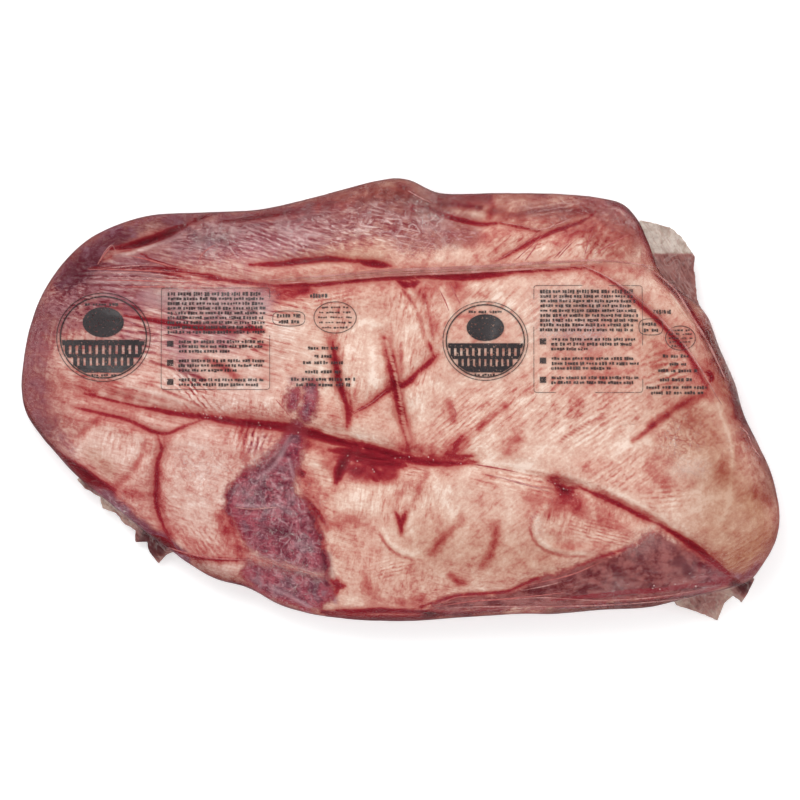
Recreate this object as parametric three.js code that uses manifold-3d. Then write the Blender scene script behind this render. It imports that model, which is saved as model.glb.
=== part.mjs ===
// A whole raw beef brisket, shrunk tight in a clear sealed bag and lying on its flat side.
// Millimetres, +Z up, +X towards the thick end. The origin is on the resting face, under the middle of the
// pack. The bag clings to the meat all round, so the two are one solid. Spare bag film stands out from it in
// three ears.
import * as THREE from "three";
import { mergeVertices } from "three/addons/utils/BufferGeometryUtils.js";
import Module from "manifold-3d";

// Driving dimensions.
const LENGTH = 560; // along X
const WIDTH = 328; // along Y
const THIN_END = 45; // thickness of the flat muscle, at -X
const THICK_END = 70; // thickness of the point muscle, at +X
const THICKENING = [-0.45, 0.25]; // the stretch over which the thickness grows, as shares of LENGTH
const RIM_SHARE = 0.4; // height of the widest line round the pack, as a share of the thickness there
const DOME_REACH = 105; // the top stops rising this far in from the rim
const DOME_POWER = 2.1; // how square the shoulder is
const RELIEF_REACH = 52; // creases and swellings reach their full height this far in from the rim
const HEEL_REACH = 26; // the underside is flat from this far in from the rim
const FILM = 1.8; // two layers of spare film, with air and juice between
const RIPPLE_TURN = 2.4; // how far an ear's ripple turns from one column to the next, in radians

// How finely the surface is cut up.
const ROUND_STEPS = 168; // points round the rim
const TOP_RINGS = 21; // rings from the rim up to the spine
const RING_POWER = 1.5; // above 1, the rings crowd towards the rim
const HEEL_SHARES = [0.006, 0.03, 0.075, 0.16, 1]; // rings of the underside, as shares of the way in
const CREASE_STEPS = 26;
const CREASE_TIP = 0.04; // share of a crease at each tip that keeps the tip's depth
const MERGE = 1e-3; // vertices closer than this are one
const SLIVER = 0.02; // edges shorter than this, left where an ear enters the pack, are closed up

// Plan places are shares of LENGTH and WIDTH, counted from the middle.
const place = ([along, across]) => new THREE.Vector2(along * LENGTH, across * WIDTH);

// The rim seen from above, from the tip of the thin end, over the +Y side, and back.
const OUTLINE = [
  [-0.5, 0.024], [-0.497, 0.087], [-0.488, 0.167], [-0.474, 0.235], [-0.447, 0.304], [-0.413, 0.361],
  [-0.375, 0.394], [-0.329, 0.417], [-0.258, 0.424], [-0.184, 0.43], [-0.118, 0.455], [-0.069, 0.478],
  [-0.032, 0.493], [-0.005, 0.5], [0.016, 0.493], [0.053, 0.466], [0.132, 0.466], [0.211, 0.464],
  [0.264, 0.455], [0.293, 0.442], [0.312, 0.41], [0.327, 0.361], [0.346, 0.284], [0.401, 0.201],
  [0.422, 0.118], [0.454, -0.035], [0.488, -0.158], [0.5, -0.269], [0.483, -0.358], [0.463, -0.406],
  [0.433, -0.426], [0.383, -0.446], [0.33, -0.469], [0.264, -0.475], [0.202, -0.484], [0.093, -0.491],
  [0.027, -0.498], [-0.078, -0.493], [-0.122, -0.482], [-0.159, -0.462], [-0.201, -0.424],
  [-0.243, -0.403], [-0.276, -0.372], [-0.309, -0.336], [-0.348, -0.284], [-0.388, -0.23],
  [-0.422, -0.183], [-0.453, -0.125], [-0.474, -0.082], [-0.493, -0.03],
];
// The line that the rings close in on, and where it lies across.
const SPINE_HALF = 0.3;
const SPINE_ACROSS = [0.05, -0.06];

// Valleys where the fat folds on itself or parts, and where the film bridges across.
const CREASES = [
  { name: "main groove", width: 8, depth: 8,
    path: [[-0.454, 0.028], [-0.408, 0.01], [-0.334, -0.019], [-0.251, -0.039], [-0.15, -0.062],
      [-0.065, -0.098], [-0.013, -0.122], [0.045, -0.14], [0.096, -0.138]] },
  { name: "point groove", width: 6, depth: 5,
    path: [[0.103, -0.147], [0.192, -0.176], [0.283, -0.23], [0.346, -0.287], [0.404, -0.352],
      [0.435, -0.399]] },
  { name: "long pleat", width: 6, depth: 4,
    path: [[-0.41, 0.298], [-0.309, 0.293], [-0.234, 0.271], [-0.167, 0.257], [-0.065, 0.266],
      [0.048, 0.278], [0.198, 0.291], [0.283, 0.307], [0.333, 0.298]] },
  { name: "gash over the thin end", width: 5, depth: 5,
    path: [[-0.377, 0.343], [-0.33, 0.361], [-0.291, 0.385], [-0.247, 0.403]] },
  { name: "gash over the long pleat", width: 5, depth: 3.5,
    path: [[-0.197, 0.302], [-0.125, 0.313], [-0.072, 0.313], [-0.011, 0.298]] },
  { name: "lobe groove", width: 6, depth: 5.5,
    path: [[-0.318, -0.08], [-0.319, -0.179], [-0.318, -0.264], [-0.302, -0.325]] },
  { name: "lobe top, thin side", width: 5, depth: 3,
    path: [[-0.429, -0.017], [-0.35, -0.051], [-0.321, -0.073]] },
  { name: "lobe top, thick side", width: 5, depth: 3, path: [[-0.305, -0.075], [-0.263, -0.046]] },
  { name: "lower rim band", width: 5, depth: 3,
    path: [[-0.429, -0.145], [-0.387, -0.188], [-0.363, -0.206]] },
  { name: "first rib", width: 5, depth: 4.5,
    path: [[-0.089, 0.131], [-0.081, 0.042], [-0.069, -0.021], [-0.069, -0.062]] },
  { name: "second rib", width: 6, depth: 6,
    path: [[-0.022, 0.14], [-0.009, 0.069], [-0.001, -0.012], [0.013, -0.111]] },
  { name: "second rib's upper end", width: 5, depth: 3.5,
    path: [[0.006, 0.266], [0.027, 0.203], [0.044, 0.096]] },
  { name: "cross fold", width: 5, depth: 3.5,
    path: [[-0.065, -0.033], [-0.018, 0.019], [0.007, 0.035], [0.051, 0.102]] },
  { name: "far fork, thin side", width: 6, depth: 4.5,
    path: [[0.013, 0.442], [0.061, 0.417], [0.132, 0.394]] },
  { name: "far fork, thick side", width: 5, depth: 3.5,
    path: [[0.13, 0.394], [0.184, 0.376], [0.225, 0.403], [0.272, 0.43]] },
  { name: "film fold by the point", width: 6, depth: 4.5,
    path: [[0.244, 0.293], [0.304, 0.233], [0.35, 0.158], [0.388, 0.075], [0.406, 0.021]] },
  { name: "fold along the thick end", width: 5, depth: 3,
    path: [[0.343, 0.278], [0.397, 0.158], [0.428, 0.042]] },
  { name: "muscle edge", width: 5, depth: 3.5,
    path: [[0.045, -0.457], [0.14, -0.43], [0.225, -0.381], [0.337, -0.291]] },
  { name: "cleft at the fat's edge", width: 5, depth: 3,
    path: [[-0.131, -0.089], [-0.14, -0.203], [-0.11, -0.278], [-0.093, -0.419], [-0.101, -0.453]] },
];

// Broad swellings of fat and muscle, and hollows below zero.
const SWELLS = [
  { name: "thin end lobe", at: [-0.383, -0.118], reach: 30, height: 3.5 },
  { name: "fat cushion", at: [-0.24, -0.17], reach: 42, height: 4 },
  { name: "between the ribs", at: [-0.045, 0.08], reach: 24, height: 4.5 },
  { name: "beside the second rib", at: [0.049, 0.17], reach: 34, height: 3.5 },
  { name: "lower middle", at: [0.04, -0.32], reach: 60, height: 4 },
  { name: "point crown", at: [0.23, 0], reach: 85, height: 5 },
  { name: "point corner", at: [0.42, -0.22], reach: 50, height: 5 },
  { name: "bare muscle", at: [-0.155, -0.29], reach: 32, height: -4.5 },
  { name: "pucker", at: [0.215, -0.2], reach: 9, height: -5 },
  { name: "thin end top", at: [-0.37, 0.17], reach: 60, height: 2.5 },
  { name: "between the fork's arms", at: [0.132, 0.345], reach: 19, height: 2 },
  { name: "point's far side", at: [0.251, 0.338], reach: 17, height: 2 },
  { name: "island under the main groove", at: [-0.045, -0.217], reach: 12, height: 2 },
];

// Slow unevenness of hand-cut meat: waves with a length in mm, a direction in degrees and a height in mm.
const WAVES = [
  { length: 97, heading: 20, height: 0.9 },
  { length: 71, heading: 115, height: 0.8 },
  { length: 46, heading: 65, height: 0.6 },
  { length: 33, heading: 160, height: 0.45 },
];

// Spare film. Each ear is stretched between a root inside the pack and a free edge: along, across, height.
const EARS = [
  { name: "seal tail", rows: 5, columns: 18, ripple: 1.6,
    root: [[0.293, 0.375, 34], [0.33, 0.26, 34], [0.378, 0.14, 33], [0.403, 0.09, 33]],
    edge: [[0.325, 0.398, 33], [0.355, 0.386, 26], [0.375, 0.365, 20], [0.385, 0.333, 15], [0.395, 0.312, 12],
      [0.389, 0.298, 12], [0.391, 0.26, 14], [0.392, 0.226, 19], [0.404, 0.18, 27], [0.418, 0.13, 31]] },
  { name: "point corner ear", rows: 4, columns: 14, ripple: 1.1,
    root: [[0.352, -0.415, 23], [0.4, -0.4, 23.5], [0.438, -0.362, 24.3]],
    edge: [[0.37, -0.458, 21], [0.396, -0.478, 13], [0.423, -0.495, 5], [0.429, -0.462, 7],
      [0.441, -0.441, 12], [0.451, -0.453, 15], [0.456, -0.436, 18], [0.466, -0.4, 24]] },
  { name: "thin end ear", rows: 5, columns: 22, ripple: 2.2,
    root: [[-0.4, -0.17, 17], [-0.36, -0.235, 17], [-0.325, -0.29, 17], [-0.285, -0.345, 18]],
    edge: [[-0.41, -0.2, 17], [-0.397, -0.217, 11], [-0.391, -0.242, 8], [-0.375, -0.256, 11],
      [-0.363, -0.28, 7], [-0.349, -0.294, 10], [-0.35, -0.316, 5], [-0.333, -0.316, 9], [-0.331, -0.341, 6],
      [-0.318, -0.367, 4], [-0.307, -0.354, 9], [-0.29, -0.373, 15]] },
];

const lerp = THREE.MathUtils.lerp;
const shoulder = (share) => (share >= 1 ? 1 : Math.pow(1 - Math.pow(1 - share, DOME_POWER), 1 / DOME_POWER));

// Thickness of the pack before its relief, growing smoothly from the flat muscle to the point.
function thickness(x) {
  const [from, to] = THICKENING;
  return lerp(THIN_END, THICK_END, THREE.MathUtils.smoothstep(x / LENGTH, from, to));
}

// Points round the rim, the first at the tip of the thin end.
function rimPoints() {
  const drawn = OUTLINE.map((share) => new THREE.Vector3(...place(share), 0));
  const points = new THREE.CatmullRomCurve3(drawn, true, "centripetal").getSpacedPoints(ROUND_STEPS);
  return points.slice(0, ROUND_STEPS);
}

// The spine point that a rim point is drawn towards. Steps on the two sides share their spine points.
function spinePoint(step) {
  const turn = Math.cos((2 * Math.PI * step) / ROUND_STEPS);
  const across = lerp(SPINE_ACROSS[0], SPINE_ACROSS[1], (1 - turn) / 2);
  return place([-turn * SPINE_HALF, across]);
}

// Height that creases, swellings and waves add at a plan point.
function makeRelief() {
  const creases = CREASES.map(({ width, depth, path }) => {
    const line = new THREE.CatmullRomCurve3(path.map((share) => new THREE.Vector3(...place(share), 0)));
    return { width, depth, points: line.getSpacedPoints(CREASE_STEPS) };
  });
  const segment = new THREE.Line3();
  const nearest = new THREE.Vector3();
  return (x, y) => {
    const here = new THREE.Vector3(x, y, 0);
    let height = 0;
    for (const { width, depth, points } of creases) {
      let gap = Infinity;
      let along = 0;
      for (let i = 0; i < CREASE_STEPS; i++) {
        segment.set(points[i], points[i + 1]);
        const away = segment.closestPointToPoint(here, true, nearest).distanceTo(here);
        if (away < gap) {
          gap = away;
          along = (i + segment.closestPointToPointParameter(here, true)) / CREASE_STEPS;
        }
      }
      const taper = Math.sqrt(Math.sin(Math.PI * THREE.MathUtils.clamp(along, CREASE_TIP, 1 - CREASE_TIP)));
      height -= depth * taper * Math.exp(-Math.pow(gap / width, 2));
    }
    for (const { at, reach, height: swell } of SWELLS) {
      height += swell * Math.exp(-place(at).distanceToSquared(here) / (reach * reach));
    }
    for (const { length, heading, height: wave } of WAVES) {
      const way = THREE.MathUtils.degToRad(heading);
      height += wave * Math.sin((2 * Math.PI * (x * Math.cos(way) + y * Math.sin(way))) / length);
    }
    return height;
  };
}

// The filled pack without its ears: rings from the rim to the spine, over the top and under the bottom.
function packGeometry() {
  const rim = rimPoints();
  const positions = [];
  const onTop = [];
  const addRing = (share, top) => {
    const first = positions.length / 3;
    rim.forEach((edge, step) => {
      const spine = spinePoint(step);
      const x = lerp(edge.x, spine.x, share);
      const y = lerp(edge.y, spine.y, share);
      const inward = Math.hypot(x - edge.x, y - edge.y);
      const full = thickness(x);
      const rimHeight = full * RIM_SHARE;
      const z = top
        ? rimHeight + (full - rimHeight) * shoulder(inward / DOME_REACH)
        : rimHeight * (1 - shoulder(inward / HEEL_REACH));
      positions.push(x, y, z);
      onTop.push(top ? shoulder(inward / RELIEF_REACH) : 0);
    });
    return first;
  };
  const topRings = Array.from({ length: TOP_RINGS + 1 }, (_, ring) =>
    addRing(Math.pow(ring / TOP_RINGS, RING_POWER), true));
  const heelRings = [topRings[0], ...HEEL_SHARES.map((share) => addRing(share, false))];

  const faces = [];
  const joinRings = (rings, up) => {
    const vertex = (ring, step) => {
      const round = step % ROUND_STEPS;
      const onSpine = ring === rings.length - 1; // where the two sides share their vertices
      return rings[ring] + (onSpine ? Math.min(round, ROUND_STEPS - round) : round);
    };
    for (let ring = 0; ring + 1 < rings.length; ring++) {
      for (let step = 0; step < ROUND_STEPS; step++) {
        const [a, b] = [vertex(ring, step), vertex(ring, step + 1)];
        const [c, d] = [vertex(ring + 1, step + 1), vertex(ring + 1, step)];
        faces.push(...(up ? [a, d, c, a, c, b] : [a, c, d, a, b, c]));
      }
    }
  };
  joinRings(topRings, true);
  joinRings(heelRings, false);

  const skin = new THREE.BufferGeometry();
  skin.setAttribute("position", new THREE.Float32BufferAttribute(positions, 3));
  skin.setIndex(faces);
  skin.computeVertexNormals();
  const normal = skin.getAttribute("normal");
  const relief = makeRelief();
  const point = new THREE.Vector3();
  const outward = new THREE.Vector3();
  onTop.forEach((share, i) => {
    point.fromArray(positions, 3 * i);
    point.addScaledVector(outward.fromBufferAttribute(normal, i), relief(point.x, point.y) * share);
    skin.getAttribute("position").setXYZ(i, ...point);
  });
  skin.deleteAttribute("normal");
  return skin;
}

// One ear: a rippled sheet of film with a thickness, both faces split alike.
function earGeometry({ root, edge, rows, columns, ripple }) {
  const along = (points, share) => {
    const corners = points.map(([a, b, height]) => new THREE.Vector3(...place([a, b]), height));
    const path = new THREE.CurvePath();
    for (let i = 0; i + 1 < corners.length; i++) path.add(new THREE.LineCurve3(corners[i], corners[i + 1]));
    return path.getPointAt(share);
  };
  const positions = [];
  for (const lift of [FILM / 2, -FILM / 2]) {
    for (let row = 0; row <= rows; row++) {
      for (let column = 0; column <= columns; column++) {
        const point = along(root, column / columns).lerp(along(edge, column / columns), row / rows);
        const wave = ripple * Math.sin(RIPPLE_TURN * column) * Math.sin((Math.PI * row) / rows);
        positions.push(point.x, point.y, point.z + wave + lift);
      }
    }
  }
  const stride = columns + 1;
  const under = stride * (rows + 1);
  const faces = [];
  for (let row = 0; row < rows; row++) {
    for (let column = 0; column < columns; column++) {
      const a = row * stride + column;
      const [b, c, d] = [a + 1, a + stride + 1, a + stride];
      faces.push(a, b, c, a, c, d, under + a, under + c, under + b, under + a, under + d, under + c);
    }
  }
  const border = [
    ...Array.from({ length: columns }, (_, i) => i),
    ...Array.from({ length: rows }, (_, i) => i * stride + columns),
    ...Array.from({ length: columns }, (_, i) => rows * stride + columns - i),
    ...Array.from({ length: rows }, (_, i) => (rows - i) * stride),
  ];
  border.forEach((a, i) => {
    const b = border[(i + 1) % border.length];
    faces.push(a, under + a, b, b, under + a, under + b);
  });
  const sheet = new THREE.BufferGeometry();
  sheet.setAttribute("position", new THREE.Float32BufferAttribute(positions, 3));
  sheet.setIndex(faces);
  return sheet;
}

const wasm = await Module();
wasm.setup();

function solidOf(geometry) {
  const merged = mergeVertices(geometry, MERGE);
  return new wasm.Manifold(new wasm.Mesh({
    numProp: 3,
    vertProperties: new Float32Array(merged.getAttribute("position").array),
    triVerts: new Uint32Array(merged.index.array),
  }));
}

function geometryOf(solid) {
  const mesh = solid.getMesh();
  const geometry = new THREE.BufferGeometry();
  geometry.setAttribute("position", new THREE.BufferAttribute(new Float32Array(mesh.vertProperties), 3));
  geometry.setIndex(new THREE.BufferAttribute(new Uint32Array(mesh.triVerts), 1));
  geometry.computeVertexNormals();
  return geometry;
}

let pack = solidOf(packGeometry());
for (const ear of EARS) pack = pack.add(solidOf(earGeometry(ear)));
pack = pack.simplify(SLIVER);

const bagged = new THREE.Mesh(
  geometryOf(pack),
  new THREE.MeshStandardMaterial({ color: 0xd69a88, roughness: 0.28, metalness: 0 }),
);
bagged.name = "bagged_brisket";

const brisket = new THREE.Group();
brisket.add(bagged);
export default brisket;
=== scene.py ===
"""A whole raw beef brisket in a clear shrunk bag: the meat, the film over it, its folds and its print.

The meat and the film are dressed round one CAD solid. Places on the pack are read off a drawing of it from
above, in steps: x runs towards the thick end and y towards the reader. Heights and thicknesses are in mm.
"""

import math
import random
from types import SimpleNamespace

import bpy
import numpy as np
from bpy.props import FloatProperty, FloatVectorProperty, IntProperty, PointerProperty
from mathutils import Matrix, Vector, noise


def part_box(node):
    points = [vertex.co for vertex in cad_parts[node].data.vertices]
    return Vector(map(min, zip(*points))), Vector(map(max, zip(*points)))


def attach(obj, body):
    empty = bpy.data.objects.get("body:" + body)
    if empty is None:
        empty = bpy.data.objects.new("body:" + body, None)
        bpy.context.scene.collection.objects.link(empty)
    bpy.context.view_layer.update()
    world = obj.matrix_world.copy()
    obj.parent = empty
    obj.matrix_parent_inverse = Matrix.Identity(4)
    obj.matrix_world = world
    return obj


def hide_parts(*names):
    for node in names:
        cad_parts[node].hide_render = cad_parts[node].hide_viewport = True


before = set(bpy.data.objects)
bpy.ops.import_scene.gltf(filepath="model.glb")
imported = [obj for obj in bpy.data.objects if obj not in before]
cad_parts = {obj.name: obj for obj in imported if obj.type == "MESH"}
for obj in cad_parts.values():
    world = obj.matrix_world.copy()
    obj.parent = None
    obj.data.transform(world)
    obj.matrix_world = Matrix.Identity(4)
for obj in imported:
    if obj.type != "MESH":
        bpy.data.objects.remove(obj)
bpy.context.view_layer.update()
NODE = "bagged_brisket"
BODY = "root"
LOW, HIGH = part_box(NODE)

bl_info = {
    "name": "Bagged raw brisket",
    "version": (1, 0, 0),
    "blender": (4, 5, 0),
    "location": "View3D > Sidebar > Brisket",
    "description": "Builds a raw brisket in its clear bag, piece by piece",
    "category": "Object",
}

MM = 0.001
LENGTH = HIGH.x - LOW.x
STEP = LENGTH / 759  # the pack is 759 steps long on the drawing
DRAWING_WIDTH = 800 * STEP
MIDDLE = (399.5, 400.5)  # the drawing's place of the origin
THIN_END = 0.58 * HIGH.z  # thickness at the thin end
THICK_END = 0.9 * HIGH.z
THICKENING = (-0.45 * LENGTH, 0.25 * LENGTH)  # where the thickness starts and stops growing
RIM_SHARE = 0.4  # height of the widest line round the pack, as a share of the thickness there
DOME_REACH = 105 * MM  # the top stops rising this far in from the rim
DOME_POWER = 2.1
HEEL_REACH = 26 * MM  # the underside is flat from this far in from the rim
LEAN = (3 * MM, -4 * MM)  # where the lean side begins and is whole, in from the rim, with minus for below
RIM_SHADE_AND_JUICE = (13 * MM, -3 * MM, -14 * MM)  # where the rim's painted shade and pooled juice begin, are darkest and end
PUCKERS = 94  # upright puckers round the side, where the bag had too much film
PUCKER_REACH = 16 * MM  # how far from the rim they die away
WRINKLE = 0.7 * MM  # height of a pucker or a crumple
FLOOR_SIZE = 8.0
AIM = (0, 0, 0.03)  # every lamp points at this place in the meat
CEILING = (0.84, 0.97)  # the light from all round fades between these heights of the sky, where 1 is overhead

# How finely the two skins are cut up.
ROUND_STEPS = 800
TOP_RINGS = 98
HEEL_RINGS = 16
TOP_CROWDING = 1.35  # above 1, rings lie closer together near the rim
HEEL_CROWDING = 3
CURVE_STEPS = 24  # points drawn between two places on a curve
FAR = 9  # steps outside a patch at which it is forgotten

# ---------------------------------------------------------------------------------------------------------
# Places on the drawing
# ---------------------------------------------------------------------------------------------------------

OUTLINE = (
    (20, 390), (22, 362), (29, 326), (40, 296), (60, 265), (86, 240), (115, 225), (150, 215), (204, 212),
    (260, 209), (310, 198), (347, 188), (375, 181), (396, 178), (412, 181), (426, 188), (440, 193),
    (500, 193), (560, 194), (600, 198), (622, 204), (636, 218), (648, 240), (662, 274), (704, 311),
    (720, 348), (736, 385), (744, 416), (756, 441), (770, 471), (777, 500), (779, 520), (776, 539),
    (766, 560), (751, 581), (728, 590), (690, 599), (650, 609), (600, 612), (553, 616), (520, 616),
    (470, 619), (420, 622), (380, 622), (340, 620), (307, 615), (279, 606), (247, 589), (215, 580),
    (190, 566), (165, 550), (135, 527), (105, 503), (79, 482), (56, 456), (40, 437), (25, 414),
)
SPINE = ((172, 378), (627, 427))  # the line that the rings close in on

# Valleys: half width in steps, depth in mm, half width of the juice in them in steps, places.
CREASES = (
    (11, 8, 0, ((55, 388), (90, 396), (122, 403), (146, 409), (170, 414), (209, 418), (238, 423),
     (286, 428), (318, 436), (350, 444), (390, 455), (434, 463), (472, 462))),
    (8, 5, 0, ((478, 466), (514, 471), (545, 479), (582, 488), (614, 503), (646, 519), (662, 528),
     (678, 538), (706, 557), (730, 578))),
    (8, 4, 2.2, ((88, 268), (130, 269), (165, 270), (200, 275), (222, 280), (254, 284), (273, 286),
     (318, 285), (350, 282), (390, 279), (436, 277), (502, 273), (550, 271), (579, 269), (614, 264),
     (652, 268))),
    (7, 5, 0, ((113, 248), (130, 246), (149, 240), (165, 234), (179, 229), (212, 221))),
    (6, 3.5, 3.4, ((250, 266), (265, 265), (281, 264), (305, 261), (326, 259), (345, 261), (360, 263))),
    (5, 3, 4, ((357, 261), (366, 264), (378, 266), (391, 268))),
    (8, 5.5, 2.6, ((158, 436), (162, 450), (158, 462), (157, 480), (155, 502), (158, 518), (163, 530),
     (170, 545))),
    (6, 4.5, 2.6, ((332, 342), (335, 361), (338, 382), (343, 396), (347, 410), (347, 428))),
    (8, 6, 4.4, ((383, 338), (390, 354), (393, 370), (395, 387), (399, 406), (403, 425), (409, 450))),
    (6, 3.5, 1.5, ((404, 282), (412, 293), (420, 310), (423, 328), (429, 345), (433, 358))),
    (7, 3.5, 2.2, ((350, 415), (370, 404), (386, 392), (405, 385), (420, 370), (438, 355))),
    (8, 4.5, 3, ((409, 204), (429, 206), (446, 215), (465, 221), (482, 225), (500, 225))),
    (7, 3.5, 1, ((498, 225), (520, 229), (539, 233))),
    (7, 3.5, 2.2, ((493, 264), (505, 257), (520, 249), (537, 239), (558, 229), (586, 218), (600, 207))),
    (8, 4.5, 2, ((585, 270), (606, 281), (630, 297), (652, 316), (665, 330), (681, 348), (694, 367),
     (708, 391))),
    (7, 3, .8, ((434, 604), (453, 596), (480, 594), (506, 592), (530, 581), (570, 570), (600, 557),
     (630, 545), (655, 530))),
    (6, 3, 0, ((300, 440), (300, 457), (295, 479), (293, 491), (308, 508), (316, 524), (322, 547),
     (327, 571), (329, 587), (323, 602))),
    (5, 3, 1.7, ((74, 408), (106, 415), (134, 423), (156, 433), (168, 434), (182, 428), (200, 421))),
    (7, 3, 4.4, ((66, 460), (80, 471), (96, 483), (112, 490))),
    (5, 2.5, 1.3, ((652, 274), (671, 289), (690, 321), (703, 341), (716, 367), (724, 382))),
    (6, 3, 2, ((660, 277), (685, 301), (701, 330), (717, 350))),
    (5, 2, 0, ((98, 420), (86, 430), (72, 442))),
    (5, 2, 0, ((147, 438), (141, 457), (131, 473), (117, 488))),
)
LIP = 0.22  # how much the fat swells beside a valley, as a share of its depth
LIP_PLACE = 2.1  # how far from the valley's middle, in its half widths
FILM_DEPTH = 0.5  # the film is drawn this share of a valley's depth into it
FILM_SPREAD = 1.25  # and makes it this much wider

# Swellings: place, reach in steps, height in mm.
SWELLS = (
    ((109, 453), 40, 3.5), ((217, 476), 57, 4), ((365, 365), 33, 4.5), ((437, 325), 46, 3.5),
    ((430, 543), 81, 4), ((574, 400), 115, 5), ((718, 498), 68, 5), ((282, 530), 43, -4.5),
    ((563, 490), 12, -5), ((119, 325), 81, 2.5), ((150, 467), 12, 1.5), ((365, 497), 16, 2),
    ((318, 455), 12, 1.6), ((412, 395), 14, 1.5), ((590, 250), 22, 2), ((500, 247), 26, 2),
    ((665, 470), 26, 1.5), ((200, 568), 16, 1.5),
)
# Rolls of fat and film: half width in steps, height in mm, places.
ROLLS = (
    (4, 2.4, ((546, 503), (536, 515), (534, 528), (540, 540), (556, 548), (580, 549), (600, 546))),
    (5, 1.6, ((500, 467), (540, 473), (582, 481), (620, 497), (655, 514))),
    (4, 1.4, ((320, 276), (360, 272), (420, 270), (500, 266), (570, 264), (640, 264))),
    (4, 1.6, ((114, 253), (140, 250), (165, 243))), (4, 1.2, ((381, 530), (388, 543), (400, 551))),
)
# Waves of hand-cut meat: length in mm, heading in degrees, height in mm.
WAVES = ((97, 20, 0.9), (71, 115, 0.8), (46, 65, 0.6), (33, 160, 0.45))

# Pools of juice: half width in steps, places.
POOLS = (
    (5, ((110, 250), (130, 246), (150, 239), (166, 232), (188, 223))),
    (2, ((184, 224), (200, 218), (216, 214))), (2.2, ((575, 486), (614, 503), (646, 520), (662, 528))),
    (3.6, ((656, 524), (690, 546), (728, 576))), (1.8, ((84, 394), (104, 399), (130, 405), (158, 411))),
    (2.6, ((124, 402), (150, 409), (180, 415), (214, 419), (240, 423))),
    (5.2, ((184, 415), (209, 418), (238, 423), (286, 428), (318, 436), (350, 444), (390, 455), (434, 463),
     (478, 462))),
    (1.4, ((98, 264), (130, 252), (155, 262), (180, 270), (222, 282))),
    (1.2, ((90, 268), (150, 271), (190, 280))),
    (4.2, ((326, 616), (350, 618), (390, 619), (430, 617), (447, 612))),
    (2.6, ((550, 600), (598, 595), (652, 589), (687, 586), (728, 581))),
    (4.5, ((718, 580), (735, 586), (748, 592))),
    (3.2, ((603, 200), (620, 206), (633, 216), (640, 228), (647, 243), (654, 256))),
    (2.2, ((124, 317), (160, 322), (190, 328), (209, 329), (236, 331))),
    (2.2, ((240, 330), (252, 330), (264, 331))), (3.6, ((415, 206), (410, 212))),
    (2.6, ((218, 223), (240, 221), (264, 217), (288, 213))), (3.4, ((430, 279), (470, 278), (512, 274))),
    (3.2, ((398, 283), (408, 287), (419, 283))), (4.4, ((674, 535), (692, 547), (708, 559))),
    (4.6, ((301, 470), (303, 477))), (2.6, ((304, 497), (313, 507), (325, 524))),
    (2.4, ((395, 511), (400, 522), (401, 534))), (2.4, ((406, 511), (401, 524), (401, 533))),
    (2, ((462, 436), (455, 444), (452, 454))), (2.4, ((440, 452), (456, 457), (472, 456))),
    (2.4, ((436, 356), (428, 364), (418, 373))), (2.4, ((545, 480), (556, 485), (563, 491), (570, 500))),
    (2.2, ((577, 486), (566, 490), (556, 499))), (4.6, ((556, 484), (562, 490), (572, 492))),
    (3, ((330, 580), (338, 586), (345, 585))), (2.6, ((337, 578), (337, 588), (334, 596))),
    (2.2, ((20, 396), (27, 412), (38, 431), (54, 450), (74, 466))),
    (3.2, ((147, 537), (160, 542), (176, 552))), (5, ((328, 450), (345, 452), (370, 457), (404, 464))),
    (7, ((336, 483), (341, 468), (352, 446))), (4, ((342, 456), (370, 463), (402, 467))),
    (3, ((348, 466), (358, 474), (368, 464), (380, 474), (392, 466), (406, 466))),
    (2, ((368, 470), (376, 480), (386, 474))), (4, ((699, 371), (708, 377), (705, 388))),
    (1.6, ((172, 551), (192, 556), (220, 559), (252, 560))), (2.4, ((336, 611), (380, 609), (426, 611))),
)
# Patches of bare muscle, by their outlines.
MUSCLE_PATCHES = (
    ((302, 422), (303, 440), (301, 457), (296, 479), (294, 491), (308, 508), (316, 524), (322, 547),
     (327, 571), (318, 574), (290, 567), (267, 560), (254, 553), (243, 538), (236, 524), (229, 512),
     (226, 501), (229, 488), (243, 474), (262, 462), (278, 446), (287, 433), (292, 424)),
    ((306, 386), (318, 383), (316, 400), (313, 418), (302, 424), (300, 412), (305, 398)),
    ((290, 390), (297, 390), (297, 410), (290, 409)),
    ((246, 564), (270, 567), (300, 573), (328, 580), (331, 590), (324, 604), (308, 610), (290, 605),
     (268, 598), (252, 588), (243, 575)),
    ((432, 607), (453, 599), (506, 595), (530, 584), (570, 572), (600, 559), (630, 547), (654, 533),
     (668, 541), (690, 553), (709, 564), (728, 580), (716, 588), (690, 593), (650, 597), (600, 600),
     (570, 605), (500, 607), (440, 610)),
)

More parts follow.
